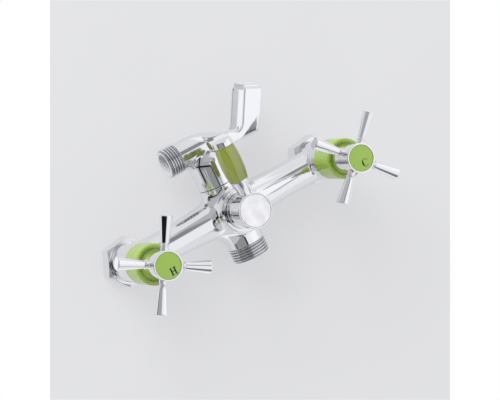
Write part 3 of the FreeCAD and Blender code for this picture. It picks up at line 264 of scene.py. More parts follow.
CHROME = chrome_material("polished_chrome", (0.87, 0.875, 0.89), 0.05, 0.00004)
CHROME_CAST = chrome_material("polished_casting", (0.87, 0.875, 0.89), 0.06, 0.00009)
CHROME_SATIN = chrome_material("satin_face", (0.95, 0.95, 0.955), 0.34, 0.00002)
# Painted shade: a dark, dull metal for the roots of the screw threads, standing for the shade that lies in
# their grooves
ROOT_SHADE = plain_material("painted_root_shade", 1.0, 0.35, (0.34, 0.34, 0.37), (0.46, 0.46, 0.49), 160, 0.00002)
# Painted light: a pale matt grey for the bore of the hose nipple, so that its mouth looks lit where the
# bore lies in shade
PAINTED_BORE_LIGHT = plain_material("bore_painted_light", 0.0, 0.4, (0.66, 0.66, 0.69), (0.78, 0.78, 0.81), 160, 0.00002)
LIME = plastic_material("lime_plastic", (0.29, 0.46, 0.012), (0.33, 0.52, 0.018), 0.3, 0.12)
OLIVE = plastic_material("olive_plastic", (0.24, 0.28, 0.028), (0.27, 0.315, 0.034), 0.2, 0.06)
INDEX = plastic_material("index_plastic", (0.25, 0.44, 0.008), (0.30, 0.50, 0.012), 0.35, 0.05)
INK = plain_material("printed_ink", 0.0, 0.5, (0.012, 0.014, 0.01), (0.02, 0.022, 0.018), 300, 0.000005)
BRASS = plain_material("machined_brass", 1.0, 0.28, (0.72, 0.47, 0.17), (0.83, 0.58, 0.25), 90, 0.00002)
STEEL = plain_material("stainless_steel", 1.0, 0.25, (0.5, 0.5, 0.51), (0.6, 0.6, 0.61), 120, 0.00002)
CERAMIC = plain_material("ceramic", 0.0, 0.2, (0.85, 0.83, 0.78), (0.9, 0.88, 0.84), 80, 0.00001)
RUBBER = plain_material("rubber", 0.0, 0.7, (0.012, 0.012, 0.013), (0.03, 0.03, 0.03), 200, 0.00003)
FIBRE = plain_material("fibre_washer", 0.0, 0.85, (0.2, 0.035, 0.025), (0.3, 0.06, 0.04), 400, 0.00008)
SEAT = plain_material("seat_plastic", 0.0, 0.4, (0.75, 0.75, 0.73), (0.85, 0.85, 0.83), 120, 0.00002)

FINISHES = {
    "chrome": CHROME, "green_plastic": LIME, "olive_plastic": OLIVE, "index_plastic": INDEX,
    "brass": BRASS, "steel": STEEL, "ceramic": CERAMIC, "rubber": RUBBER, "fibre": FIBRE,
    "seat_plastic": SEAT,
}


# Mesh tools

SEGMENTS = 96
ARC_STEPS = 4
CORNER_ROOM = 0.45
ON_AXIS = 1e-6


def add_object(name, mesh):
    thing = bpy.data.objects.new(name, mesh)
    bpy.context.scene.collection.objects.link(thing)
    return thing


def paint(thing, material, inside):
    """Gives the faces whose middle, in millimetres, lies inside a region a material of their own."""
    thing.data.materials.append(material)
    index = len(thing.data.materials) - 1
    for face in thing.data.polygons:
        if inside(*(face.center / MM)):
            face.material_index = index


class Skin:
    """Points, normals and faces of one piece, gathered from several surfaces."""

    def __init__(self):
        self.points = []
        self.normals = []
        self.faces = []
        self.count = 0

    def add(self, points, normals, faces, matrix=None):
        """Adds a surface, with each face turned to the side that its normals point to."""
        points = np.asarray(points, float)
        normals = np.asarray(normals, float)
        if matrix is not None:
            turn = np.array(matrix.to_3x3())
            points = points @ turn.T + np.array(matrix.translation)
            normals = normals @ turn.T
        for face in faces:
            a, b, c = points[face[0]], points[face[1]], points[face[2]]
            across = np.cross(b - a, c - a)
            if len(face) > 3 and across @ across < 1e-12:
                across = np.cross(c - a, points[face[3]] - a)
            way = sum(normals[i] for i in face)
            self.faces.append([i + self.count for i in (face if across @ way > 0 else face[::-1])])
        self.points.append(points)
        self.normals.append(normals)
        self.count += len(points)

    def piece(self, name, material, body, slot, *nodes):
        """Makes the piece, which rides on a body and stands for nodes of the frame."""
        points = np.concatenate(self.points) * MM
        normals = np.concatenate(self.normals)
        normals /= np.maximum(np.linalg.norm(normals, axis=1, keepdims=True), 1e-9)
        mesh = bpy.data.meshes.new(name)
        mesh.from_pydata(points.tolist(), [], self.faces)
        mesh.polygons.foreach_set("use_smooth", [True] * len(mesh.polygons))
        mesh.materials.append(material)
        mesh.normals_split_custom_set_from_vertices(normals.tolist())
        mesh.update()
        thing = add_object(name, mesh)
        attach(thing, body)
        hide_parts(*nodes)
        return thing


def frame_of(x, y, z, turn=0, axis="X"):
    return Matrix.Translation((x, y, z)) @ Matrix.Rotation(math.radians(turn), 4, axis)


def front_axis(x):
    """Local Z runs out of the wall, towards the user."""
    return frame_of(x, 0, 0, 90)


UPRIGHT_AXIS = frame_of(0, -AXIS_DEPTH, 0)
LEVER_AXIS = frame_of(0, -LEVER_DEPTH, 0, LEVER_TILT)
# Local Z runs to the left, along the bracket's nipple
HOSE_AXIS = frame_of(0, -AXIS_DEPTH, BRACKET_AXIS, -90, "Y")


def bow(start, end, rise, count=14):
    """Points between two corners on the arc that stands this high to the right of the way."""
    start, end = Vector(start), Vector(end)
    way = end - start
    side = Vector((way.y, -way.x)).normalized()
    points = []
    for step in range(1, count):
        share = step / count
        point = start + way * share + side * (rise * (1 - (2 * share - 1) ** 2))
        points.append((point.x, point.y, 0))
    return points


def corner_arc(before, here, after, radius):
    """The points and tangents of a path's rounded corner, as far as its two sides have room."""
    come, leave = (here - before).normalized(), (after - here).normalized()
    half = come.angle(leave) / 2
    room = CORNER_ROOM * min((here - before).length, (after - here).length)
    reach = min(radius * math.tan(half), room)
    if half < 0.01 or reach < 1e-5:
        return [here], [(come + leave).normalized()]
    sign = 1 if come.cross(leave) > 0 else -1
    start = here - come * reach
    middle = start + Vector((-come.y, come.x)) * (reach / math.tan(half)) * sign
    points, tangents = [], []
    for step in range(ARC_STEPS + 1):
        turn = Matrix.Rotation(2 * half * step / ARC_STEPS * sign, 2)
        points.append(middle + turn @ (start - middle))
        tangents.append((turn @ come).normalized())
    return points, tangents


def softened(corners, soft, closed):
    """Rounds the corners of an outline of (radius, station[, rounding])."""
    path = [Vector(corner[:2]) for corner in corners]
    points, tangents = [], []
    for index, here in enumerate(path):
        before, after = path[index - 1], path[(index + 1) % len(path)]
        if not closed and index in (0, len(path) - 1):
            way = after - here if index == 0 else here - before
            spots, ways = [here], [way.normalized()]
        else:
            radius = corners[index][2] if len(corners[index]) > 2 else soft
            spots, ways = corner_arc(before, here, after, radius)
        points += spots
        tangents += ways
    return points, tangents


def outline_area(points):
    """Twice the area, above zero for a path that runs anticlockwise."""
    pairs = zip(points, points[1:] + points[:1])
    return sum(here.x * after.y - after.x * here.y for here, after in pairs)


def ring_faces(rows, segments):
    """Quads between rings of points that follow one another."""
    return [[row * segments + step, row * segments + (step + 1) % segments,
             (row + 1) * segments + (step + 1) % segments, (row + 1) * segments + step]
            for row in range(rows - 1) for step in range(segments)]


def turn_path(skin, points, tangents, sign, closed, matrix, segments):
    """Turns a path about the local Z axis; the sign tells on which side of it the outside lies."""
    angles = np.arange(segments) * 2 * math.pi / segments
    cos, sin = np.cos(angles), np.sin(angles)
    places, normals = [], []
    for point, tangent in zip(points, tangents):
        out, up = tangent.y * sign, -tangent.x * sign
        places.append(np.stack([point.x * cos, point.x * sin, np.full(segments, point.y)], 1))
        normals.append(np.stack([out * cos, out * sin, np.full(segments, up)], 1))
    rows = len(points)
    faces = []
    for a, b, c, d in ring_faces(rows + 1 if closed else rows, segments):
        row, following = a // segments, d // segments % rows
        c, d = c % (rows * segments), d % (rows * segments)
        if points[row].x < ON_AXIS:
            faces.append([row * segments, c, d])
        elif points[following].x < ON_AXIS:
            faces.append([a, b, following * segments])
        else:
            faces.append([a, b, c, d])
    used = sorted({i for face in faces for i in face})
    renumber = {old: new for new, old in enumerate(used)}
    faces = [[renumber[i] for i in face] for face in faces]
    skin.add(np.concatenate(places)[used], np.concatenate(normals)[used], faces, matrix)


def lathe(skin, corners, matrix, soft, segments=SEGMENTS):
    """Turns the outline of a whole piece, which is closed or starts and ends on the axis."""
    closed = not (corners[0][0] < ON_AXIS and corners[-1][0] < ON_AXIS)
    points, tangents = softened(corners, soft, closed)
    sign = 1 if outline_area(points) > 0 else -1
    turn_path(skin, points, tangents, sign, closed, matrix, segments)


def open_lathe(skin, corners, matrix, soft, sign):
    """Turns a part of an outline, which leaves the rest to other surfaces."""
    points, tangents = softened(corners, soft, False)
    turn_path(skin, points, tangents, sign, False, matrix, SEGMENTS)


def screw_thread(skin, crest, root, start, end, matrix, inside=False):
    """A helical thread whose ridge fades out at both of its ends."""
    stations = np.arange(0, 1.0001, 1 / round(abs(end - start) / 0.1)) * (end - start) + start
    angles = np.arange(SEGMENTS) * 2 * math.pi / SEGMENTS
    station, angle = np.meshgrid(stations, angles, indexing="ij")

    def radius(s, a):
        phase = (s / PITCH - a / (2 * math.pi)) % 1.0
        ridge = np.clip(1.35 - np.abs(phase - 0.5) * 4.2, 0, 1)
        ridge = ridge * ridge * (3 - 2 * ridge)
        ends = np.minimum(s - min(start, end), max(start, end) - s) / (PITCH * 0.45)
        return root + (crest - root) * ridge * np.clip(ends, 0, 1)

    r = radius(station, angle)
    slope_s = (radius(station + 0.02, angle) - radius(station - 0.02, angle)) / 0.04
    slope_a = (radius(station, angle + 0.005) - radius(station, angle - 0.005)) / 0.01
    cos, sin = np.cos(angle), np.sin(angle)
    places = np.stack([r * cos, r * sin, station], -1).reshape(-1, 3)
    turn = slope_a / r
    normals = np.stack([cos + turn * sin, sin - turn * cos, -slope_s], -1).reshape(-1, 3)
    skin.add(places, -normals if inside else normals, ring_faces(len(stations), SEGMENTS), matrix)


# Implicit surfaces: distance fields, negative inside


def round_union(a, b, radius):
    """The parts of both fields, with a fillet where they meet."""
    return np.maximum(radius, np.minimum(a, b)) - np.hypot(np.maximum(radius - a, 0),
                                                          np.maximum(radius - b, 0))


def round_cut(a, b, radius):
    """The part that lies in both fields, with its edge rounded."""
    return np.minimum(-radius, np.maximum(a, b)) + np.hypot(np.maximum(radius + a, 0),
                                                           np.maximum(radius + b, 0))


def smooth_step(value, low, high):
    share = np.clip((value - low) / (high - low), 0, 1)
    return share * share * (3 - 2 * share)


def polygon_field(x, y, corners):
    """Signed distance to a closed polygon."""
    best = np.full(x.shape, 1e9)
    sign = np.ones(x.shape)
    for index, (ax, ay) in enumerate(corners):
        bx, by = corners[index - 1]
        ex, ey = bx - ax, by - ay
        wx, wy = x - ax, y - ay
        share = np.clip((wx * ex + wy * ey) / (ex * ex + ey * ey), 0, 1)
        dx, dy = wx - ex * share, wy - ey * share
        best = np.minimum(best, dx * dx + dy * dy)
        above, below, left = y >= ay, y < by, ex * wy > ey * wx
        flip = (above & below & left) | (~above & ~below & ~left)
        sign = np.where(flip, -sign, sign)
    return sign * np.sqrt(best)


def inset(corners, amount):
    """The polygon with every edge moved inwards, for corners that run clockwise or not."""
    vectors = [Vector(corner) for corner in corners]
    sign = 1 if outline_area(vectors) > 0 else -1
    moved = []
    for before, here, after in zip(vectors[-1:] + vectors, vectors, vectors[1:] + vectors[:1]):
        come, leave = (here - before).normalized(), (after - here).normalized()
        middle = (Vector((-come.y, come.x)) + Vector((-leave.y, leave.x))) * sign
        moved.append(here + middle * (2 * amount / middle.length_squared))
    return [(p.x, p.y) for p in moved]


def gradient(field, points, step=0.03):
    parts = []
    for axis in range(3):
        shift = np.zeros(3)
        shift[axis] = step
        parts.append(field(points + shift) - field(points - shift))
    return np.stack(parts, 1) / (2 * step)


def settle(field, points, rounds, longest=0.6):
    """Moves points onto the surface, by no more than the longest move in a round."""
    for _ in range(rounds):
        slope = gradient(field, points)
        size = np.maximum((slope * slope).sum(1), 1e-3)
        move = slope * (field(points) / size)[:, None]
        length = np.maximum(np.linalg.norm(move, axis=1), 1e-9)
        points = points - move * np.minimum(1, longest / length)[:, None]
    return points


def first_net(field, low, high, cell):
    """A point in each cell that the surface crosses, and the quads that join them."""
    axes = [np.arange(a, b + cell, cell) for a, b in zip(low, high)]
    shape = tuple(len(axis) for axis in axes)
    grid = np.stack(np.meshgrid(*axes, indexing="ij"), -1)
    value = field(grid.reshape(-1, 3)).reshape(shape)
    inside = value < 0
    cells = tuple(n - 1 for n in shape)
    corners = [(i, j, k) for i in (0, 1) for j in (0, 1) for k in (0, 1)]
    total = sum(inside[i:cells[0] + i, j:cells[1] + j, k:cells[2] + k].astype(int) for i, j, k in corners)
    active = (total > 0) & (total < len(corners))
    number = np.full(cells, -1)
    number[active] = np.arange(active.sum())
    base = np.argwhere(active)
    hits = np.zeros(len(base))
    places = np.zeros((len(base), 3))
    quads = []
    for axis in range(3):
        step = np.zeros(3, int)
        step[axis] = 1
        for corner in corners:
            if corner[axis]:
                continue
            one = base + np.array(corner)
            a, b = value[tuple(one.T)], value[tuple((one + step).T)]
            crossed = (a < 0) != (b < 0)
            share = np.where(crossed, a / np.where(crossed, a - b, 1), 0)
            places += (one + step * share[:, None]) * crossed[:, None]
            hits += crossed
        first = inside[tuple(slice(0, n - s) for n, s in zip(shape, step))]
        second = inside[tuple(slice(s, n) for n, s in zip(shape, step))]
        edges = np.argwhere(first != second)
        others = [a for a in range(3) if a != axis]
        keep = np.all(edges[:, others] > 0, axis=1)
        keep &= np.all(edges[:, others] < np.array(cells)[others], axis=1)
        ring = []
        for i, j in ((0, 0), (1, 0), (1, 1), (0, 1)):
            at = edges[keep]
            at[:, others[0]] -= i
            at[:, others[1]] -= j
            ring.append(number[tuple(at.T)])
        quads.append(np.stack(ring, 1))
    return np.array(low) + places / hits[:, None] * cell, np.concatenate(quads)


def net(field, low, high, cell):
    """Even quads over the surface where the field is zero."""
    points, quads = first_net(field, low, high, cell)
    points = settle(field, points, 4)
    for _ in range(3):
        sums = np.zeros_like(points)
        counts = np.zeros(len(points))
        for i in range(4):
            for j in (i - 1, (i + 1) % 4):
                np.add.at(sums, quads[:, i], points[quads[:, j]])
                np.add.at(counts, quads[:, i], 1)
        points = points * 0.4 + sums / counts[:, None] * 0.6
        points = settle(field, points, 3)
    return points, quads


def trimmed(points, quads, cuts):
    """Cuts a net with planes; a cut is a test of a face's middle, a point and a normal to clear."""
    mesh = bmesh.new()
    corners = [mesh.verts.new(point) for point in points]
    for quad in quads:
        mesh.faces.new([corners[i] for i in quad])
    for test, place, normal in cuts:
        faces = [face for face in mesh.faces if test(face.calc_center_median())]
        edges = {edge for face in faces for edge in face.edges}
        verts = {vert for face in faces for vert in face.verts}
        bmesh.ops.bisect_plane(mesh, geom=[*verts, *edges, *faces], dist=1e-5, plane_co=place,
                               plane_no=normal, clear_outer=True)
    loose = [vert for vert in mesh.verts if not vert.link_faces]
    bmesh.ops.delete(mesh, geom=loose, context="VERTS")
    mesh.verts.index_update()
    places = np.array([vert.co[:] for vert in mesh.verts])
    faces = [[vert.index for vert in face.verts] for face in mesh.faces]
    mesh.free()
    return places, faces


def add_field(skin, field, box, cell, cuts):
    points, quads = net(field, *box, cell)
    points, faces = trimmed(points, quads.tolist(), cuts)
    skin.add(points, gradient(field, points), faces)


# The cast body


def tube_radius(x):
    """The tube's radius at this distance from the middle, flaring towards the hub."""
    share = np.clip((TUBE_WAIST - x) / (TUBE_WAIST - FLARE_START), 0, FLARE_REACH)
    sag = np.where(share > 0, FLARE_SAG * share * (1 - share), 0)
    return TUBE_RADIUS + (FLARE_RADIUS - TUBE_RADIUS) * share - sag


def casting_field(p):
    x, depth, z = p[:, 0], -p[:, 1], p[:, 2]
    side = np.abs(x)
    hub = round_cut(np.hypot(x, z) - HUB_RADIUS, HUB_BACK - depth, 1.0)
    column_radius = STUB_RADIUS + (NECK_RADIUS - STUB_RADIUS) * smooth_step(z, -6, 6)
    core = round_union(hub, np.hypot(x, depth - AXIS_DEPTH) - column_radius, CORE_FILLET)
    tube = np.hypot(depth - AXIS_DEPTH, z) - tube_radius(side)
    tube = np.maximum(tube, side - INLET_X)
    blend = TUBE_FILLET_LOW - (TUBE_FILLET_LOW - TUBE_FILLET_HIGH) * smooth_step(z, -10, 6)
    whole = round_union(core, tube, blend)
    boss = round_cut(np.hypot(side - INLET_X, z) - BOSS_RADIUS, BOSS_BACK - depth, 0.5)
    whole = round_union(whole, boss, BOSS_FILLET)
    relief = np.maximum(np.hypot(side - INLET_X, z) - NUT_RELIEF, depth - BOSS_BACK)
    return round_cut(whole, -relief, 0.5)


def make_casting():
    skin = Skin()
    top, low = NECK_TOP, -STUB_THREAD
    end = low - STUB_THREAD_LENGTH
    cuts = [
        (lambda c: abs(c.x) > 45, (0, -BOSS_FRONT, 0), (0, -1, 0)),
        (lambda c: abs(c.x) < 30, (0, -HUB_RING_BACK, 0), (0, -1, 0)),
        (lambda c: True, (0, 0, top - 0.6), (0, 0, 1)),
        (lambda c: True, (0, 0, low + 0.4), (0, 0, -1)),
    ]
    add_field(skin, casting_field, CAST_BOX, CAST_CELL, cuts)
    for x in (-INLET_X, INLET_X):
        open_lathe(skin, [(BOSS_RADIUS, BOSS_FRONT), (9.4, BOSS_FRONT), (9.4, 21), (0, 21)], front_axis(x),
                   0.2, 1)
    open_lathe(skin, [(HUB_RADIUS, HUB_RING_BACK), (15, 42.5), (15, 44), (14, 45), (11, 45),
                      (11, GLAND_BACK), (10, GLAND_BACK), (10, 9), (0, 9)], front_axis(0), 0.25, 1)
    open_lathe(skin, [(NECK_RADIUS, top - 0.6), (NECK_RADIUS, top), (9, top), (9, 33), (6, 33), (6, 15),
                      (0, 15)], UPRIGHT_AXIS, 0.3, 1)
    open_lathe(skin, [(G34_ROOT, end), (G34_ROOT, end - 0.2), (8, end - 0.2), (8, -15), (5, -15),
                      (5, -12.8)], UPRIGHT_AXIS, 0.35, -1)
    open_lathe(skin, [(STUB_RADIUS, low + 0.4), (STUB_RADIUS, low), (G34_ROOT, low - 0.3)], UPRIGHT_AXIS,
               0.2, -1)
    screw_thread(skin, G34_CREST, G34_ROOT, end, low - 0.3, UPRIGHT_AXIS)
    casting = skin.piece("mixer_casting", CHROME_CAST, "mixer_body", "chrome", "body_casting")

    # Painted shade in the roots of the stub's thread
    def in_shaded_root(x, y, z):
        return z < low - 0.3 and -0.06 < math.hypot(x, y + AXIS_DEPTH) - G34_ROOT < 0.36

    paint(casting, ROOT_SHADE, in_shaded_root)


make_casting()


# The shower bracket


def slope_height(x):
    return SLOPE_TOP - (x + SLOPE_START) * math.tan(SLOPE)


THROAT_Z = slope_height(THROAT_X)


def along_slope(x, z):
    """Lengths along the slope and square to it, from the fork's throat."""
    dx, dz = x - THROAT_X, z - THROAT_Z
    return dx * math.cos(SLOPE) - dz * math.sin(SLOPE), dx * math.sin(SLOPE) + dz * math.cos(SLOPE)


def fork_outline():
    """The fork's side view, with the arc of its throat."""
    edge = math.hypot(FORK_HEIGHT, FORK_LEAN)
    reach = THROAT_ROUND * (edge - FORK_LEAN) / FORK_HEIGHT
    arc_top = (reach * FORK_LEAN / edge, reach * FORK_HEIGHT / edge)
    corners = [along_slope(FORK_START, BRACKET_AXIS - BLOCK_RADIUS + 1.9), *FORK_BACK,
               (FORK_TOP_END, FORK_HEIGHT), (FORK_LEAN, FORK_HEIGHT), arc_top]
    middle = (-reach, THROAT_ROUND)
    start, end = math.atan2(arc_top[1] - middle[1], arc_top[0] - middle[0]), -math.pi / 2
    for step in range(1, 12):
        angle = start + (end - start) * step / 12
        corners.append((middle[0] + THROAT_ROUND * math.cos(angle),
                        middle[1] + THROAT_ROUND * math.sin(angle)))
    return corners + [(-reach, 0), along_slope(FORK_START, slope_height(FORK_START))]


FORK = inset(fork_outline(), FORK_EDGE)


def heel_field(along, height, across):
    """The flat facet that the casting has at the heel of each prong, sunk from the prong's face."""
    (ax, ay), (bx, by), (cx, cy) = HEEL
    below = ((along - ax) * (cy - ay) - (height - ay) * (cx - ax)) / math.hypot(cx - ax, cy - ay)
    inward = ((bx - along) * (cy - by) - (by - height) * (cx - bx)) / math.hypot(cx - bx, cy - by)
    face = (across - FORK_HALF) * math.cos(HEEL_TURN) + inward * math.sin(HEEL_TURN)
    return np.minimum(below, face)


def fork_field(x, z, across):
    """Two prongs that curl in at the top, on a plate that grows out of the round block."""
    along, height = along_slope(x, z)
    half = BLOCK_RADIUS + (FORK_HALF - BLOCK_RADIUS) * np.clip((x - FORK_START) / FORK_TAPER, 0, 1)
    curl_in = half - FORK_CURL * math.cos(FORK_CURL_TURN)
    curl_up = FORK_CURL_START - FORK_CURL * math.sin(FORK_CURL_TURN)
    curl = np.where(height > curl_up, np.hypot(across - curl_in, height - curl_up) - FORK_CURL, -9.0)
    prongs = round_cut(across - half, curl, 0.3)
    prongs = round_cut(prongs, heel_field(along, height, across), 0.25)
    edge = 0.9 + 2.1 * (1 - smooth_step(z, 38, 50))
    fork = round_cut(polygon_field(along, height, FORK) - FORK_EDGE, prongs, edge)
    crown = SLOPE_CROWN * (1 - smooth_step(x, FORK_START, CROWN_END))
    top = (z - slope_height(x) + crown * across * across) * math.cos(SLOPE)
    side = np.hypot(across, np.maximum(z - BRACKET_AXIS, 0)) - half
    fork = np.maximum(fork, np.where(x < CROWN_END, np.maximum(top, side), -9.0))
    slot = round_cut(across - FORK_GAP, height - FORK_LIP, FORK_INNER_CURL)
    slot = np.minimum(slot, across - FORK_MOUTH)
    slot = round_cut(slot, -0.2 - height, 3.0)
    slot = np.maximum(slot, -8 - along)
    return round_cut(fork, -slot, FORK_EDGE)


def bracket_field(p):
    x, depth, z = p[:, 0], -p[:, 1], p[:, 2]
    across = np.abs(depth - AXIS_DEPTH)
    slope = (z - slope_height(x) + SLOPE_CROWN * across * across) * math.cos(SLOPE)
    block = np.hypot(across, z - BRACKET_AXIS) - BLOCK_RADIUS
    block = round_cut(block, x - BLOCK_RIGHT, 0.5)
    block = round_cut(block, slope, 3.0)
    ring = np.hypot(x, across) - (NECK_RADIUS - SLEEVE_DOME)
    rise = z - (SLEEVE_TOP - SLEEVE_DOME)
    sleeve = np.hypot(np.maximum(ring, 0), np.maximum(rise, 0)) + np.minimum(np.maximum(ring, rise), 0)
    whole = round_union(block, sleeve - SLEEVE_DOME, 3.5)
    return round_union(whole, fork_field(x, z, across), 1.5)


def make_bracket():
    skin = Skin()
    low, left = SLEEVE_BOTTOM, BLOCK_LEFT
    end = left + HOSE_THREAD_LENGTH
    cuts = [
        (lambda c: c.z < 30, (0, 0, low + 0.6), (0, 0, -1)),
        (lambda c: c.x < -10, (-left + 0.6, 0, 0), (-1, 0, 0)),
    ]
    add_field(skin, bracket_field, BRACKET_BOX, BRACKET_CELL, cuts)
    open_lathe(skin, [(NECK_RADIUS, low + 0.6), (NECK_RADIUS, low), (9.05, low), (9.05, 33.3), (0, 33.3)],
               UPRIGHT_AXIS, 0.3, -1)
    open_lathe(skin, [(BLOCK_RADIUS, left - 0.6), (BLOCK_RADIUS, left), (G12_ROOT, left + 0.3)], HOSE_AXIS,
               0.2, 1)
    screw_thread(skin, G12_CREST, G12_ROOT, left + 0.3, end, HOSE_AXIS)
    open_lathe(skin, [(G12_ROOT, end), (G12_ROOT, end + 0.5), (HOSE_BORE, end + 0.5), (HOSE_BORE, left - 2),
                      (5, left - 2), (5, 6), (0, 6)], HOSE_AXIS, 0.35, 1)
    casting = skin.piece("bracket_casting", CHROME_CAST, "bracket", "chrome", "shower_bracket")

    # Painted light in the bore of the hose nipple: a pale matt grey where the bore lies in shade
    def in_lit_bore(x, y, z):
        return x < -5 and math.hypot(y + AXIS_DEPTH, z - BRACKET_AXIS) < HOSE_BORE + 0.1

    # Painted shade in the roots of the hose nipple's thread
    def in_shaded_root(x, y, z):
        return x < -left - 0.3 and -0.12 < math.hypot(y + AXIS_DEPTH, z - BRACKET_AXIS) - G12_ROOT < 0.3

    paint(casting, PAINTED_BORE_LIGHT, in_lit_bore)
    paint(casting, ROOT_SHADE, in_shaded_root)


make_bracket()


# The union nuts


def nut_corners():
    """The hexagon with rounded corners, as (x, y, direction of the side in radians)."""
    half_side = math.radians(30)
    reach = (NUT_FLATS / 2 - NUT_CORNER) / math.cos(half_side)
    corners = []
    for side in range(6):
        angle, following = (math.radians(NUT_TURN + 60 * (side + more)) for more in (0, 1))
        spots = [(0, angle + half_side * (step / 3 - 1)) for step in range(7)]
        spots += [(step / 8, angle + half_side) for step in range(1, 8)]
        for share, turn in spots:
            corners.append((
                reach * (math.cos(angle) * (1 - share) + math.cos(following) * share)
                + NUT_CORNER * math.cos(turn),
                reach * (math.sin(angle) * (1 - share) + math.sin(following) * share)
                + NUT_CORNER * math.sin(turn), turn))
    return corners


def nut_section(px, py, turn):
    """Points and normals of the nut's outside, from the rim of its back mouth to its front mouth."""
    reach = math.hypot(px, py)
    ux, uy = px / reach, py / reach
    nx, ny = math.cos(turn), math.sin(turn)
    face_radius = NUT_FLATS / 2 - 0.4
    edge = NUT_LENGTH - max(reach - face_radius, 0) * math.tan(math.radians(30))
    back, side, bevel, front = (0, 0, -1), (nx, ny, 0), (ux * 0.5, uy * 0.5, 0.866), (0, 0, 1)
    return [
        ((ux * NUT_BACK_MOUTH, uy * NUT_BACK_MOUTH, 0), back),
        ((px - nx * 0.3, py - ny * 0.3, 0), back),
        ((px, py, 0.3), side),
        ((px, py, edge - 0.2), side),
        ((px - ux * 0.15, py - uy * 0.15, edge + 0.02), bevel),
        ((ux * (face_radius + 0.2), uy * (face_radius + 0.2), NUT_LENGTH - 0.12), bevel),
        ((ux * (face_radius - 0.1), uy * (face_radius - 0.1), NUT_LENGTH), front),
        ((ux * NUT_MOUTH, uy * NUT_MOUTH, NUT_LENGTH), front),
    ]


def make_nut(name, x):
    skin = Skin()
    matrix = front_axis(x)
    sections = [nut_section(*corner) for corner in nut_corners()]
    spots = [spot for row in zip(*sections) for spot in row]
    skin.add([place for place, _ in spots], [normal for _, normal in spots],
             ring_faces(len(sections[0]), len(sections)), matrix)
    open_lathe(skin, [(NUT_MOUTH, NUT_LENGTH), (10.0, NUT_LENGTH - 0.2), (10.0, 9.9), (12.6, 9.9),
                      (12.6, NUT_THREAD_END + 0.1), (G34_CREST, NUT_THREAD_END)], matrix, 0.15, 1)
    screw_thread(skin, G34_ROOT, G34_CREST, 0.2, NUT_THREAD_END, matrix, inside=True)
    open_lathe(skin, [(G34_CREST, 0.2), (NUT_BACK_MOUTH, 0)], matrix, 0.1, 1)
    skin.piece(name + "_nut", CHROME, name + "_nut", "chrome", name + "_union_nut")


make_nut("hot", -INLET_X)
make_nut("cold", INLET_X)


# The handles


def turned_piece(name, corners, matrix, material, body, slot, node, soft, segments=SEGMENTS):
    skin = Skin()
    lathe(skin, corners, matrix, soft, segments)
    skin.piece(name, material, body, slot, node)


def letter_mesh(name, outlines, place, body):
    """A flat printed letter on a disc, from closed outlines of (across, up)."""
    x, z = place
    mesh = bmesh.new()
    for outline in outlines:
        spots = [((x + a) * MM, -LETTER_DEPTH * MM, (z + b) * MM) for a, b in outline]
        mesh.faces.new([mesh.verts.new(spot) for spot in spots])
    bmesh.ops.triangulate(mesh, faces=mesh.faces[:])
    bmesh.ops.recalc_face_normals(mesh, faces=mesh.faces[:])
    for face in mesh.faces:
        if face.normal.y > 0:
            face.normal_flip()
    data = bpy.data.meshes.new(name)
    mesh.to_mesh(data)
    mesh.free()
    data.materials.append(INK)
    thing = add_object(name, data)
    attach(thing, body)


def box_outline(left, low, right, high):
    return [(left, low), (right, low), (right, high), (left, high)]


def letter_h(size):
    """Two stems with serifs at their ends, and the bar between them."""
    stem, bar, serif, thin = size * 0.21, size * 0.11, size * 0.08, size * 0.08
    half, top = size * 0.36, size / 2
    outlines = [box_outline(-half + stem, -bar / 2, half - stem, bar / 2)]
    for side in (-1, 1):
        inner, outer = sorted(((half - stem) * side, half * side))
        outlines.append(box_outline(inner, -top + thin, outer, top - thin))
        outlines.append(box_outline(inner - serif, top - thin, outer + serif, top))
        outlines.append(box_outline(inner - serif, -top, outer + serif, -top + thin))
    return outlines


def letter_c(size):
    """An open ring, thick on its left, with a serif at its upper end."""
    outer, rise = size * 0.42, size / 2
    steps, start, end = 28, math.radians(38), math.radians(322)
    edge = []
    for step in range(steps + 1):
        angle = start + (end - start) * step / steps
        weight = size * (0.075 + 0.145 * max(0.0, -math.cos(angle)) ** 1.5)
        a, b = math.cos(angle), math.sin(angle)
        edge.append(((outer * a, rise * b), ((outer - weight) * a, (rise - weight * 0.55) * b)))
    x, y = edge[0][0]
    serif = ((-0.035, -0.03), (0.01, -0.11), (0.035, -0.11), (0.035, 0.13))
    outlines = [[one[0], two[0], two[1], one[1]] for one, two in zip(edge, edge[1:])]
    return outlines + [[(x + size * a, y + size * b) for a, b in serif]]


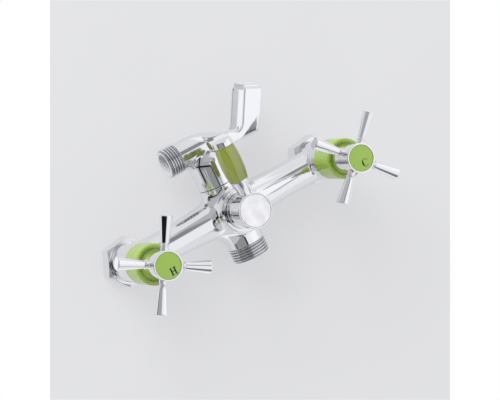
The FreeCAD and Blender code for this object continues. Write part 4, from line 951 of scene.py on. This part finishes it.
def make_handle(name, x, turn):
    """The collar, the bell with its four arms, the cap and the index disc of one handle."""
    body = name + "_handle"
    axis = front_axis(x)
    turned_piece(name + "_collar", [
        (10.65, BOSS_FRONT), (BOSS_RADIUS, BOSS_FRONT), (BOSS_RADIUS, COLLAR_FRONT, 1.1),
        (BELL_FOOT + 0.01, COLLAR_FRONT, 0), (BELL_FOOT + 0.01, 57.2), (11.2, 57.2), (11.2, 41.8),
        (10.65, 41.8)
    ], axis, LIME, "mixer_body", "green_plastic", name + "_sleeve", 0.15)
    foot, neck = (BELL_FOOT, COLLAR_FRONT - 0.3), (BELL_NECK, BELL_NECK_START)
    turned_piece(name + "_bell", [
        (4.05, 62.8), (9.2, 62.8), (9.2, 55.8), (BELL_FOOT, 55.8), (*foot, 0), *bow(foot, neck, -0.4, 20),
        (*neck, 0), (BELL_NECK, CAP_BACK), (8.2, CAP_BACK), (8.2, 77.7), (4.05, 77.7)
    ], axis, CHROME, body, "chrome", name + "_handle_hub", 0.25)
    for number in range(4):
        arm = "arm_%d" % (number + 1)
        turned_piece(name + "_" + arm, [
            (0, 5.4), (2, 5.4), (2, 9), (2.7, 9), (2.7, 11.2), (2.25, 11.2), (2.25, 12.0),
            *bow((2.25, 12.0), (2.25, 13.3), 0.85, 8), (2.25, 13.3), (2.25, 14.1), (2.7, 14.1),
            (4.5, 31.6, 0.7), (0, 31.6)
        ], frame_of(x, -ARM_DEPTH, 0, turn + 90 * number, "Y"), CHROME, body, "chrome",
            name + "_handle_" + arm, 0.12, 72)
    turned_piece(name + "_cap", [
        (0, CAP_BACK), (7.05, CAP_BACK), (7.05, 79.7), (8.15, 79.7), (8.15, CAP_BACK),
        (CAP_RADIUS, CAP_BACK), (CAP_RADIUS, CAP_FRONT, 0.45), (8.75, CAP_FRONT, 0.25), (8.75, DISC_BACK),
        (0, DISC_BACK)
    ], axis, CHROME, body, "chrome", name + "_cap_ring", 0.15)
    turned_piece(name + "_index", [
        (0, DISC_BACK), (DISC_RADIUS, DISC_BACK), (DISC_RADIUS, DISC_FRONT), (0, DISC_FRONT)
    ], axis, INDEX, body, "index_plastic", name + "_index_disc", 0.12)


make_handle("hot", -INLET_X, HOT_ARMS)
make_handle("cold", INLET_X, COLD_ARMS)
letter_mesh("hot_letter", letter_h(5.0), HOT_LETTER, "hot_handle")
letter_mesh("cold_letter", letter_c(5.4), COLD_LETTER, "cold_handle")


# The diverter

turned_piece("gland_ring", [
    (5.05, GLAND_BACK), (10.95, GLAND_BACK), (10.95, 45.6), (12.4, 45.6), (12.4, 46.9), (5.05, 46.9)
], front_axis(0), CHROME, "mixer_body", "chrome", "diverter_gland", 0.25)
turned_piece("knob_shell", [
    (5.0, 50.5), (9.4, 50.5), (9.4, 47.3), (KNOB_RADIUS, 47.3), (KNOB_RADIUS, KNOB_FRONT, 0.7),
    (PLATE_RADIUS + 0.05, KNOB_FRONT, 0.3), (PLATE_RADIUS + 0.05, PLATE_BACK), (3.8, PLATE_BACK),
    (3.8, 60.1), (2.1, 60.1), (2.1, 57.6), (5.0, 57.6)
], front_axis(0), CHROME, "diverter", "chrome", "diverter_knob", 0.25)
turned_piece("knob_plate", [
    (0, PLATE_BACK), (PLATE_RADIUS, PLATE_BACK), (PLATE_RADIUS, KNOB_FRONT, 0.4), (0, KNOB_FRONT)
], front_axis(0), CHROME_SATIN, "diverter", "chrome", "diverter_knob_face", 0.2)
turned_piece("lever_flare", [
    (0, 7.4), (2.1, 7.4), (2.1, 11.2), (3.9, 11.2), *bow((3.9, 11.2), (6.2, 21.4), -0.5), (6.2, 21.4),
    (6.2, GRIP_START), (2.55, GRIP_START), (2.55, 49.6), (0, 49.6)
], LEVER_AXIS, CHROME, "diverter", "chrome", "lever_stem", 0.2)
turned_piece("lever_barrel", [
    (2.6, GRIP_START), (GRIP_RADIUS, GRIP_START),
    *bow((GRIP_RADIUS, GRIP_START), (GRIP_RADIUS, GRIP_END), 1.2, 24),
    (GRIP_RADIUS, GRIP_END), (2.6, GRIP_END)
], LEVER_AXIS, OLIVE, "diverter", "olive_plastic", "lever_grip", 0.25)
turned_piece("lever_top", [
    (2.6, GRIP_END), (6.75, GRIP_END), (6.75, 50.7, 1.2), *bow((5.55, 50.7), (0, 51.0), 0.08, 8), (0, 51.0),
    (0, 49.65), (2.6, 49.65)
], LEVER_AXIS, CHROME, "diverter", "chrome", "lever_cap", 0.3)


# Pieces that stay as the frame has them

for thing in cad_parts.values():
    for material_slot in thing.material_slots:
        plain = material_slot.material.name.split(".")[0] if material_slot.material else "chrome"
        material_slot.material = FINISHES.get(plain, BRASS)


# Floor, light and camera, with places and sizes in metres

CAMERA_PLACE = Vector((-0.46279, -1.3109, 0.25236))
CAMERA_TURN = Quaternion((0.708536, 0.639384, 0.026862, -0.297394))
CAMERA_LENS = 150.971
CAMERA_SENSOR = 36.0
PICTURE = (500, 400)
FLOOR_COLUMNS = (50, 450)
GLOW_SHARE = 0.65
TARGET = Vector((0.02378, 0, -0.00488))
LAMP_SIZE = (3.2, 2.6)
LAMP_POWER = 122.0
LAMP_WAY = Vector((-0.366, -0.54, 0.977)).normalized()
LAMP_DISTANCE = 4.0
ROOM_LEVEL = 0.66


def on_wall(column, row):
    """The point of the wall plane that the picture shows at this pixel."""
    across = (column - PICTURE[0] / 2) / PICTURE[0] * CAMERA_SENSOR / CAMERA_LENS
    up = (PICTURE[1] / 2 - row) / PICTURE[0] * CAMERA_SENSOR / CAMERA_LENS
    ray = CAMERA_TURN @ Vector((across, up, -1))
    return CAMERA_PLACE - ray * (CAMERA_PLACE.y / ray.y)


def stage_card(name, points, faces, material):
    mesh = bpy.data.meshes.new(name)
    mesh.from_pydata([tuple(point) for point in points], [], faces)
    mesh.materials.append(material)
    card = add_object(name, mesh)
    return card


def mix_shaders(nodes, links, factor, first, second):
    mix = nodes.new("ShaderNodeMixShader")
    for source, socket in zip((factor, first, second), mix.inputs):
        links.new(source, socket)
    return mix.outputs["Shader"]


def seen_rays(nodes, links):
    """One for camera, glossy and transmission rays, which show the background, and otherwise zero."""
    path = nodes.new("ShaderNodeLightPath")
    total = path.outputs["Is Camera Ray"]
    for kind in ("Is Glossy Ray", "Is Transmission Ray"):
        add = nodes.new("ShaderNodeMath")
        add.operation = "ADD"
        add.use_clamp = True
        links.new(total, add.inputs[0])
        links.new(path.outputs[kind], add.inputs[1])
        total = add.outputs["Value"]
    return total


def floor_material():
    """Pale matt paper, seen from its front only, with a share of glow that keeps its shadow faint."""
    material, shader = node_material("pale_paper", 0.0, 0.9, (0.8, 0.8, 0.81))
    nodes, links = material.node_tree.nodes, material.node_tree.links
    tint(material, shader, noise(material, 12, 3), (0.775, 0.775, 0.79), (0.79, 0.79, 0.80))
    glow = nodes.new("ShaderNodeEmission")
    glow.inputs["Color"].default_value = (0.785, 0.785, 0.8, 1)
    share = nodes.new("ShaderNodeMath")
    share.operation = "MULTIPLY"
    share.inputs[1].default_value = GLOW_SHARE
    links.new(seen_rays(nodes, links), share.inputs[0])
    clear = nodes.new("ShaderNodeBsdfTransparent")
    faces = nodes.new("ShaderNodeNewGeometry")
    paper = mix_shaders(nodes, links, share.outputs["Value"], shader.outputs["BSDF"],
                        glow.outputs["Emission"])
    sheet = mix_shaders(nodes, links, faces.outputs["Backfacing"], paper, clear.outputs["BSDF"])
    links.new(sheet, nodes["Material Output"].inputs["Surface"])
    return material


floor_left, floor_right = FLOOR_COLUMNS
floor_corners = [on_wall(*pixel) for pixel in box_outline(floor_left, PICTURE[1], floor_right, 0)]
stage_card("pale_floor", floor_corners, [(0, 1, 2, 3)], floor_material())


def glow_material(name):
    """Shines as bright as the mesh's own level says."""
    material = bpy.data.materials.new(name)
    material.use_nodes = True
    nodes, links = material.node_tree.nodes, material.node_tree.links
    nodes.clear()
    out = nodes.new("ShaderNodeOutputMaterial")
    light = nodes.new("ShaderNodeEmission")
    level = nodes.new("ShaderNodeAttribute")
    level.attribute_name = "level"
    links.new(level.outputs["Color"], light.inputs["Color"])
    links.new(light.outputs["Emission"], out.inputs["Surface"])
    return material


# The studio that only reflections see: pale walls, soft boxes, and the dark stand of the camera.
# Each is a patch of angles from the way to the lens (left, low, right, high), with the softness of
# its edge and its level. A later patch covers the earlier ones.
STUDIO_WALLS = 0.8
STUDIO_TINT = (1, 1, 1.03, 1)
STUDIO = {
    "floor_ahead": (-70, -95, 60, -42, 8, 0.58),
    "dark_corner": (10, -78, 60, -36, 8, 0.35),
    "right_box": (24, -33, 92, 64, 5, 0.93),
    "right_box_middle": (42, 0, 92, 58, 8, 1.05),
    "top_box": (-80, 50, 100, 96, 9, 0.82),
    "top_box_end": (22, 64, 100, 96, 8, 1.0),
    "stand": (-76, -42, 18, 52, 3, 0.5),
    "stand_middle": (-50, -5, 7, 20, 2, 0.4),
    "stand_left_post": (-62, -40, -50, -12, 2, 0.01),
    "stand_right_post": (12, -38, 21, -12, 2, 0.01),
    "stand_bar": (-76, -15, 14, -3, 2, 0.01),
    "stand_middle_left": (-78, -4, -60, 15, 3, 0.12),
    "stand_low": (-50, -38, 12, -15, 1, 0.3),
    "right_box_edge": (3, -3, 36, 14, 3, 0.93),
    "box_gap": (16, 16, 36, 42, 7, 0.26),
    "low_corner": (14, -72, 44, -48, 4, 0.16),
    "stand_bar_end": (1, -9, 10, 1, 1, 0.09),
}
STUDIO_REACH = 130
STUDIO_STEP = 2
STUDIO_DISTANCE = 5.5


def make_studio():
    """A dome around the object, painted with the patches."""
    across, up = np.meshgrid(np.arange(-STUDIO_REACH, STUDIO_REACH + 1, STUDIO_STEP),
                             np.arange(-90, 91, STUDIO_STEP))
    level = np.full(across.shape, STUDIO_WALLS)
    for left, low, right, high, soft, shine in STUDIO.values():
        cover = np.ones(across.shape)
        for inside in (across - left, right - across, up - low, high - up):
            cover = cover * smooth_step(inside, -soft / 2, soft / 2)
        level = level + (shine - level) * cover
    lens_right, lens_up, lens_back = np.array(CAMERA_TURN.to_matrix()).T
    a, b = np.radians(across)[..., None], np.radians(up)[..., None]
    away = (lens_right * np.sin(a) + lens_back * np.cos(a)) * np.cos(b) + lens_up * np.sin(b)
    points = (np.array(TARGET) + away * STUDIO_DISTANCE).reshape(-1, 3)
    rows, columns = across.shape
    faces = [face for face in ring_faces(rows, columns) if face[0] % columns < columns - 1]
    card = stage_card("studio", points, faces, glow_material("studio_glow"))
    colour = card.data.attributes.new("level", "FLOAT_COLOR", "POINT")
    colour.data.foreach_set("color", (level.reshape(-1, 1) * np.array(STUDIO_TINT)).ravel())
    card.visible_camera = False
    card.visible_diffuse = False
    card.visible_shadow = False


make_studio()

light_data = bpy.data.lights.new("soft_box", "AREA")
light_data.shape = "RECTANGLE"
light_data.size, light_data.size_y = LAMP_SIZE
light_data.energy = LAMP_POWER
light = add_object("soft_box", light_data)
light.location = TARGET + LAMP_WAY * LAMP_DISTANCE
light.rotation_euler = LAMP_WAY.to_track_quat("Z", "Y").to_euler()
light.visible_glossy = False

world = bpy.data.worlds.new("studio")
bpy.context.scene.world = world
world.use_nodes = True
nodes, links = world.node_tree.nodes, world.node_tree.links
seen = nodes["Background"]
seen.inputs["Color"].default_value = (1, 1, 1, 1)
seen.inputs["Strength"].default_value = 1.0
room = nodes.new("ShaderNodeBackground")
room.inputs["Color"].default_value = (0.96, 0.97, 1.0, 1)
room.inputs["Strength"].default_value = ROOM_LEVEL
links.new(mix_shaders(nodes, links, seen_rays(nodes, links), room.outputs["Background"],
                      seen.outputs["Background"]), nodes["World Output"].inputs["Surface"])

camera_data = bpy.data.cameras.new("camera")
camera_data.lens = CAMERA_LENS
camera_data.sensor_width = CAMERA_SENSOR
camera = add_object("camera", camera_data)
camera.location = CAMERA_PLACE
camera.rotation_mode = "QUATERNION"
camera.rotation_quaternion = CAMERA_TURN
bpy.context.scene.camera = camera

bpy.context.scene.view_settings.view_transform = "Standard"
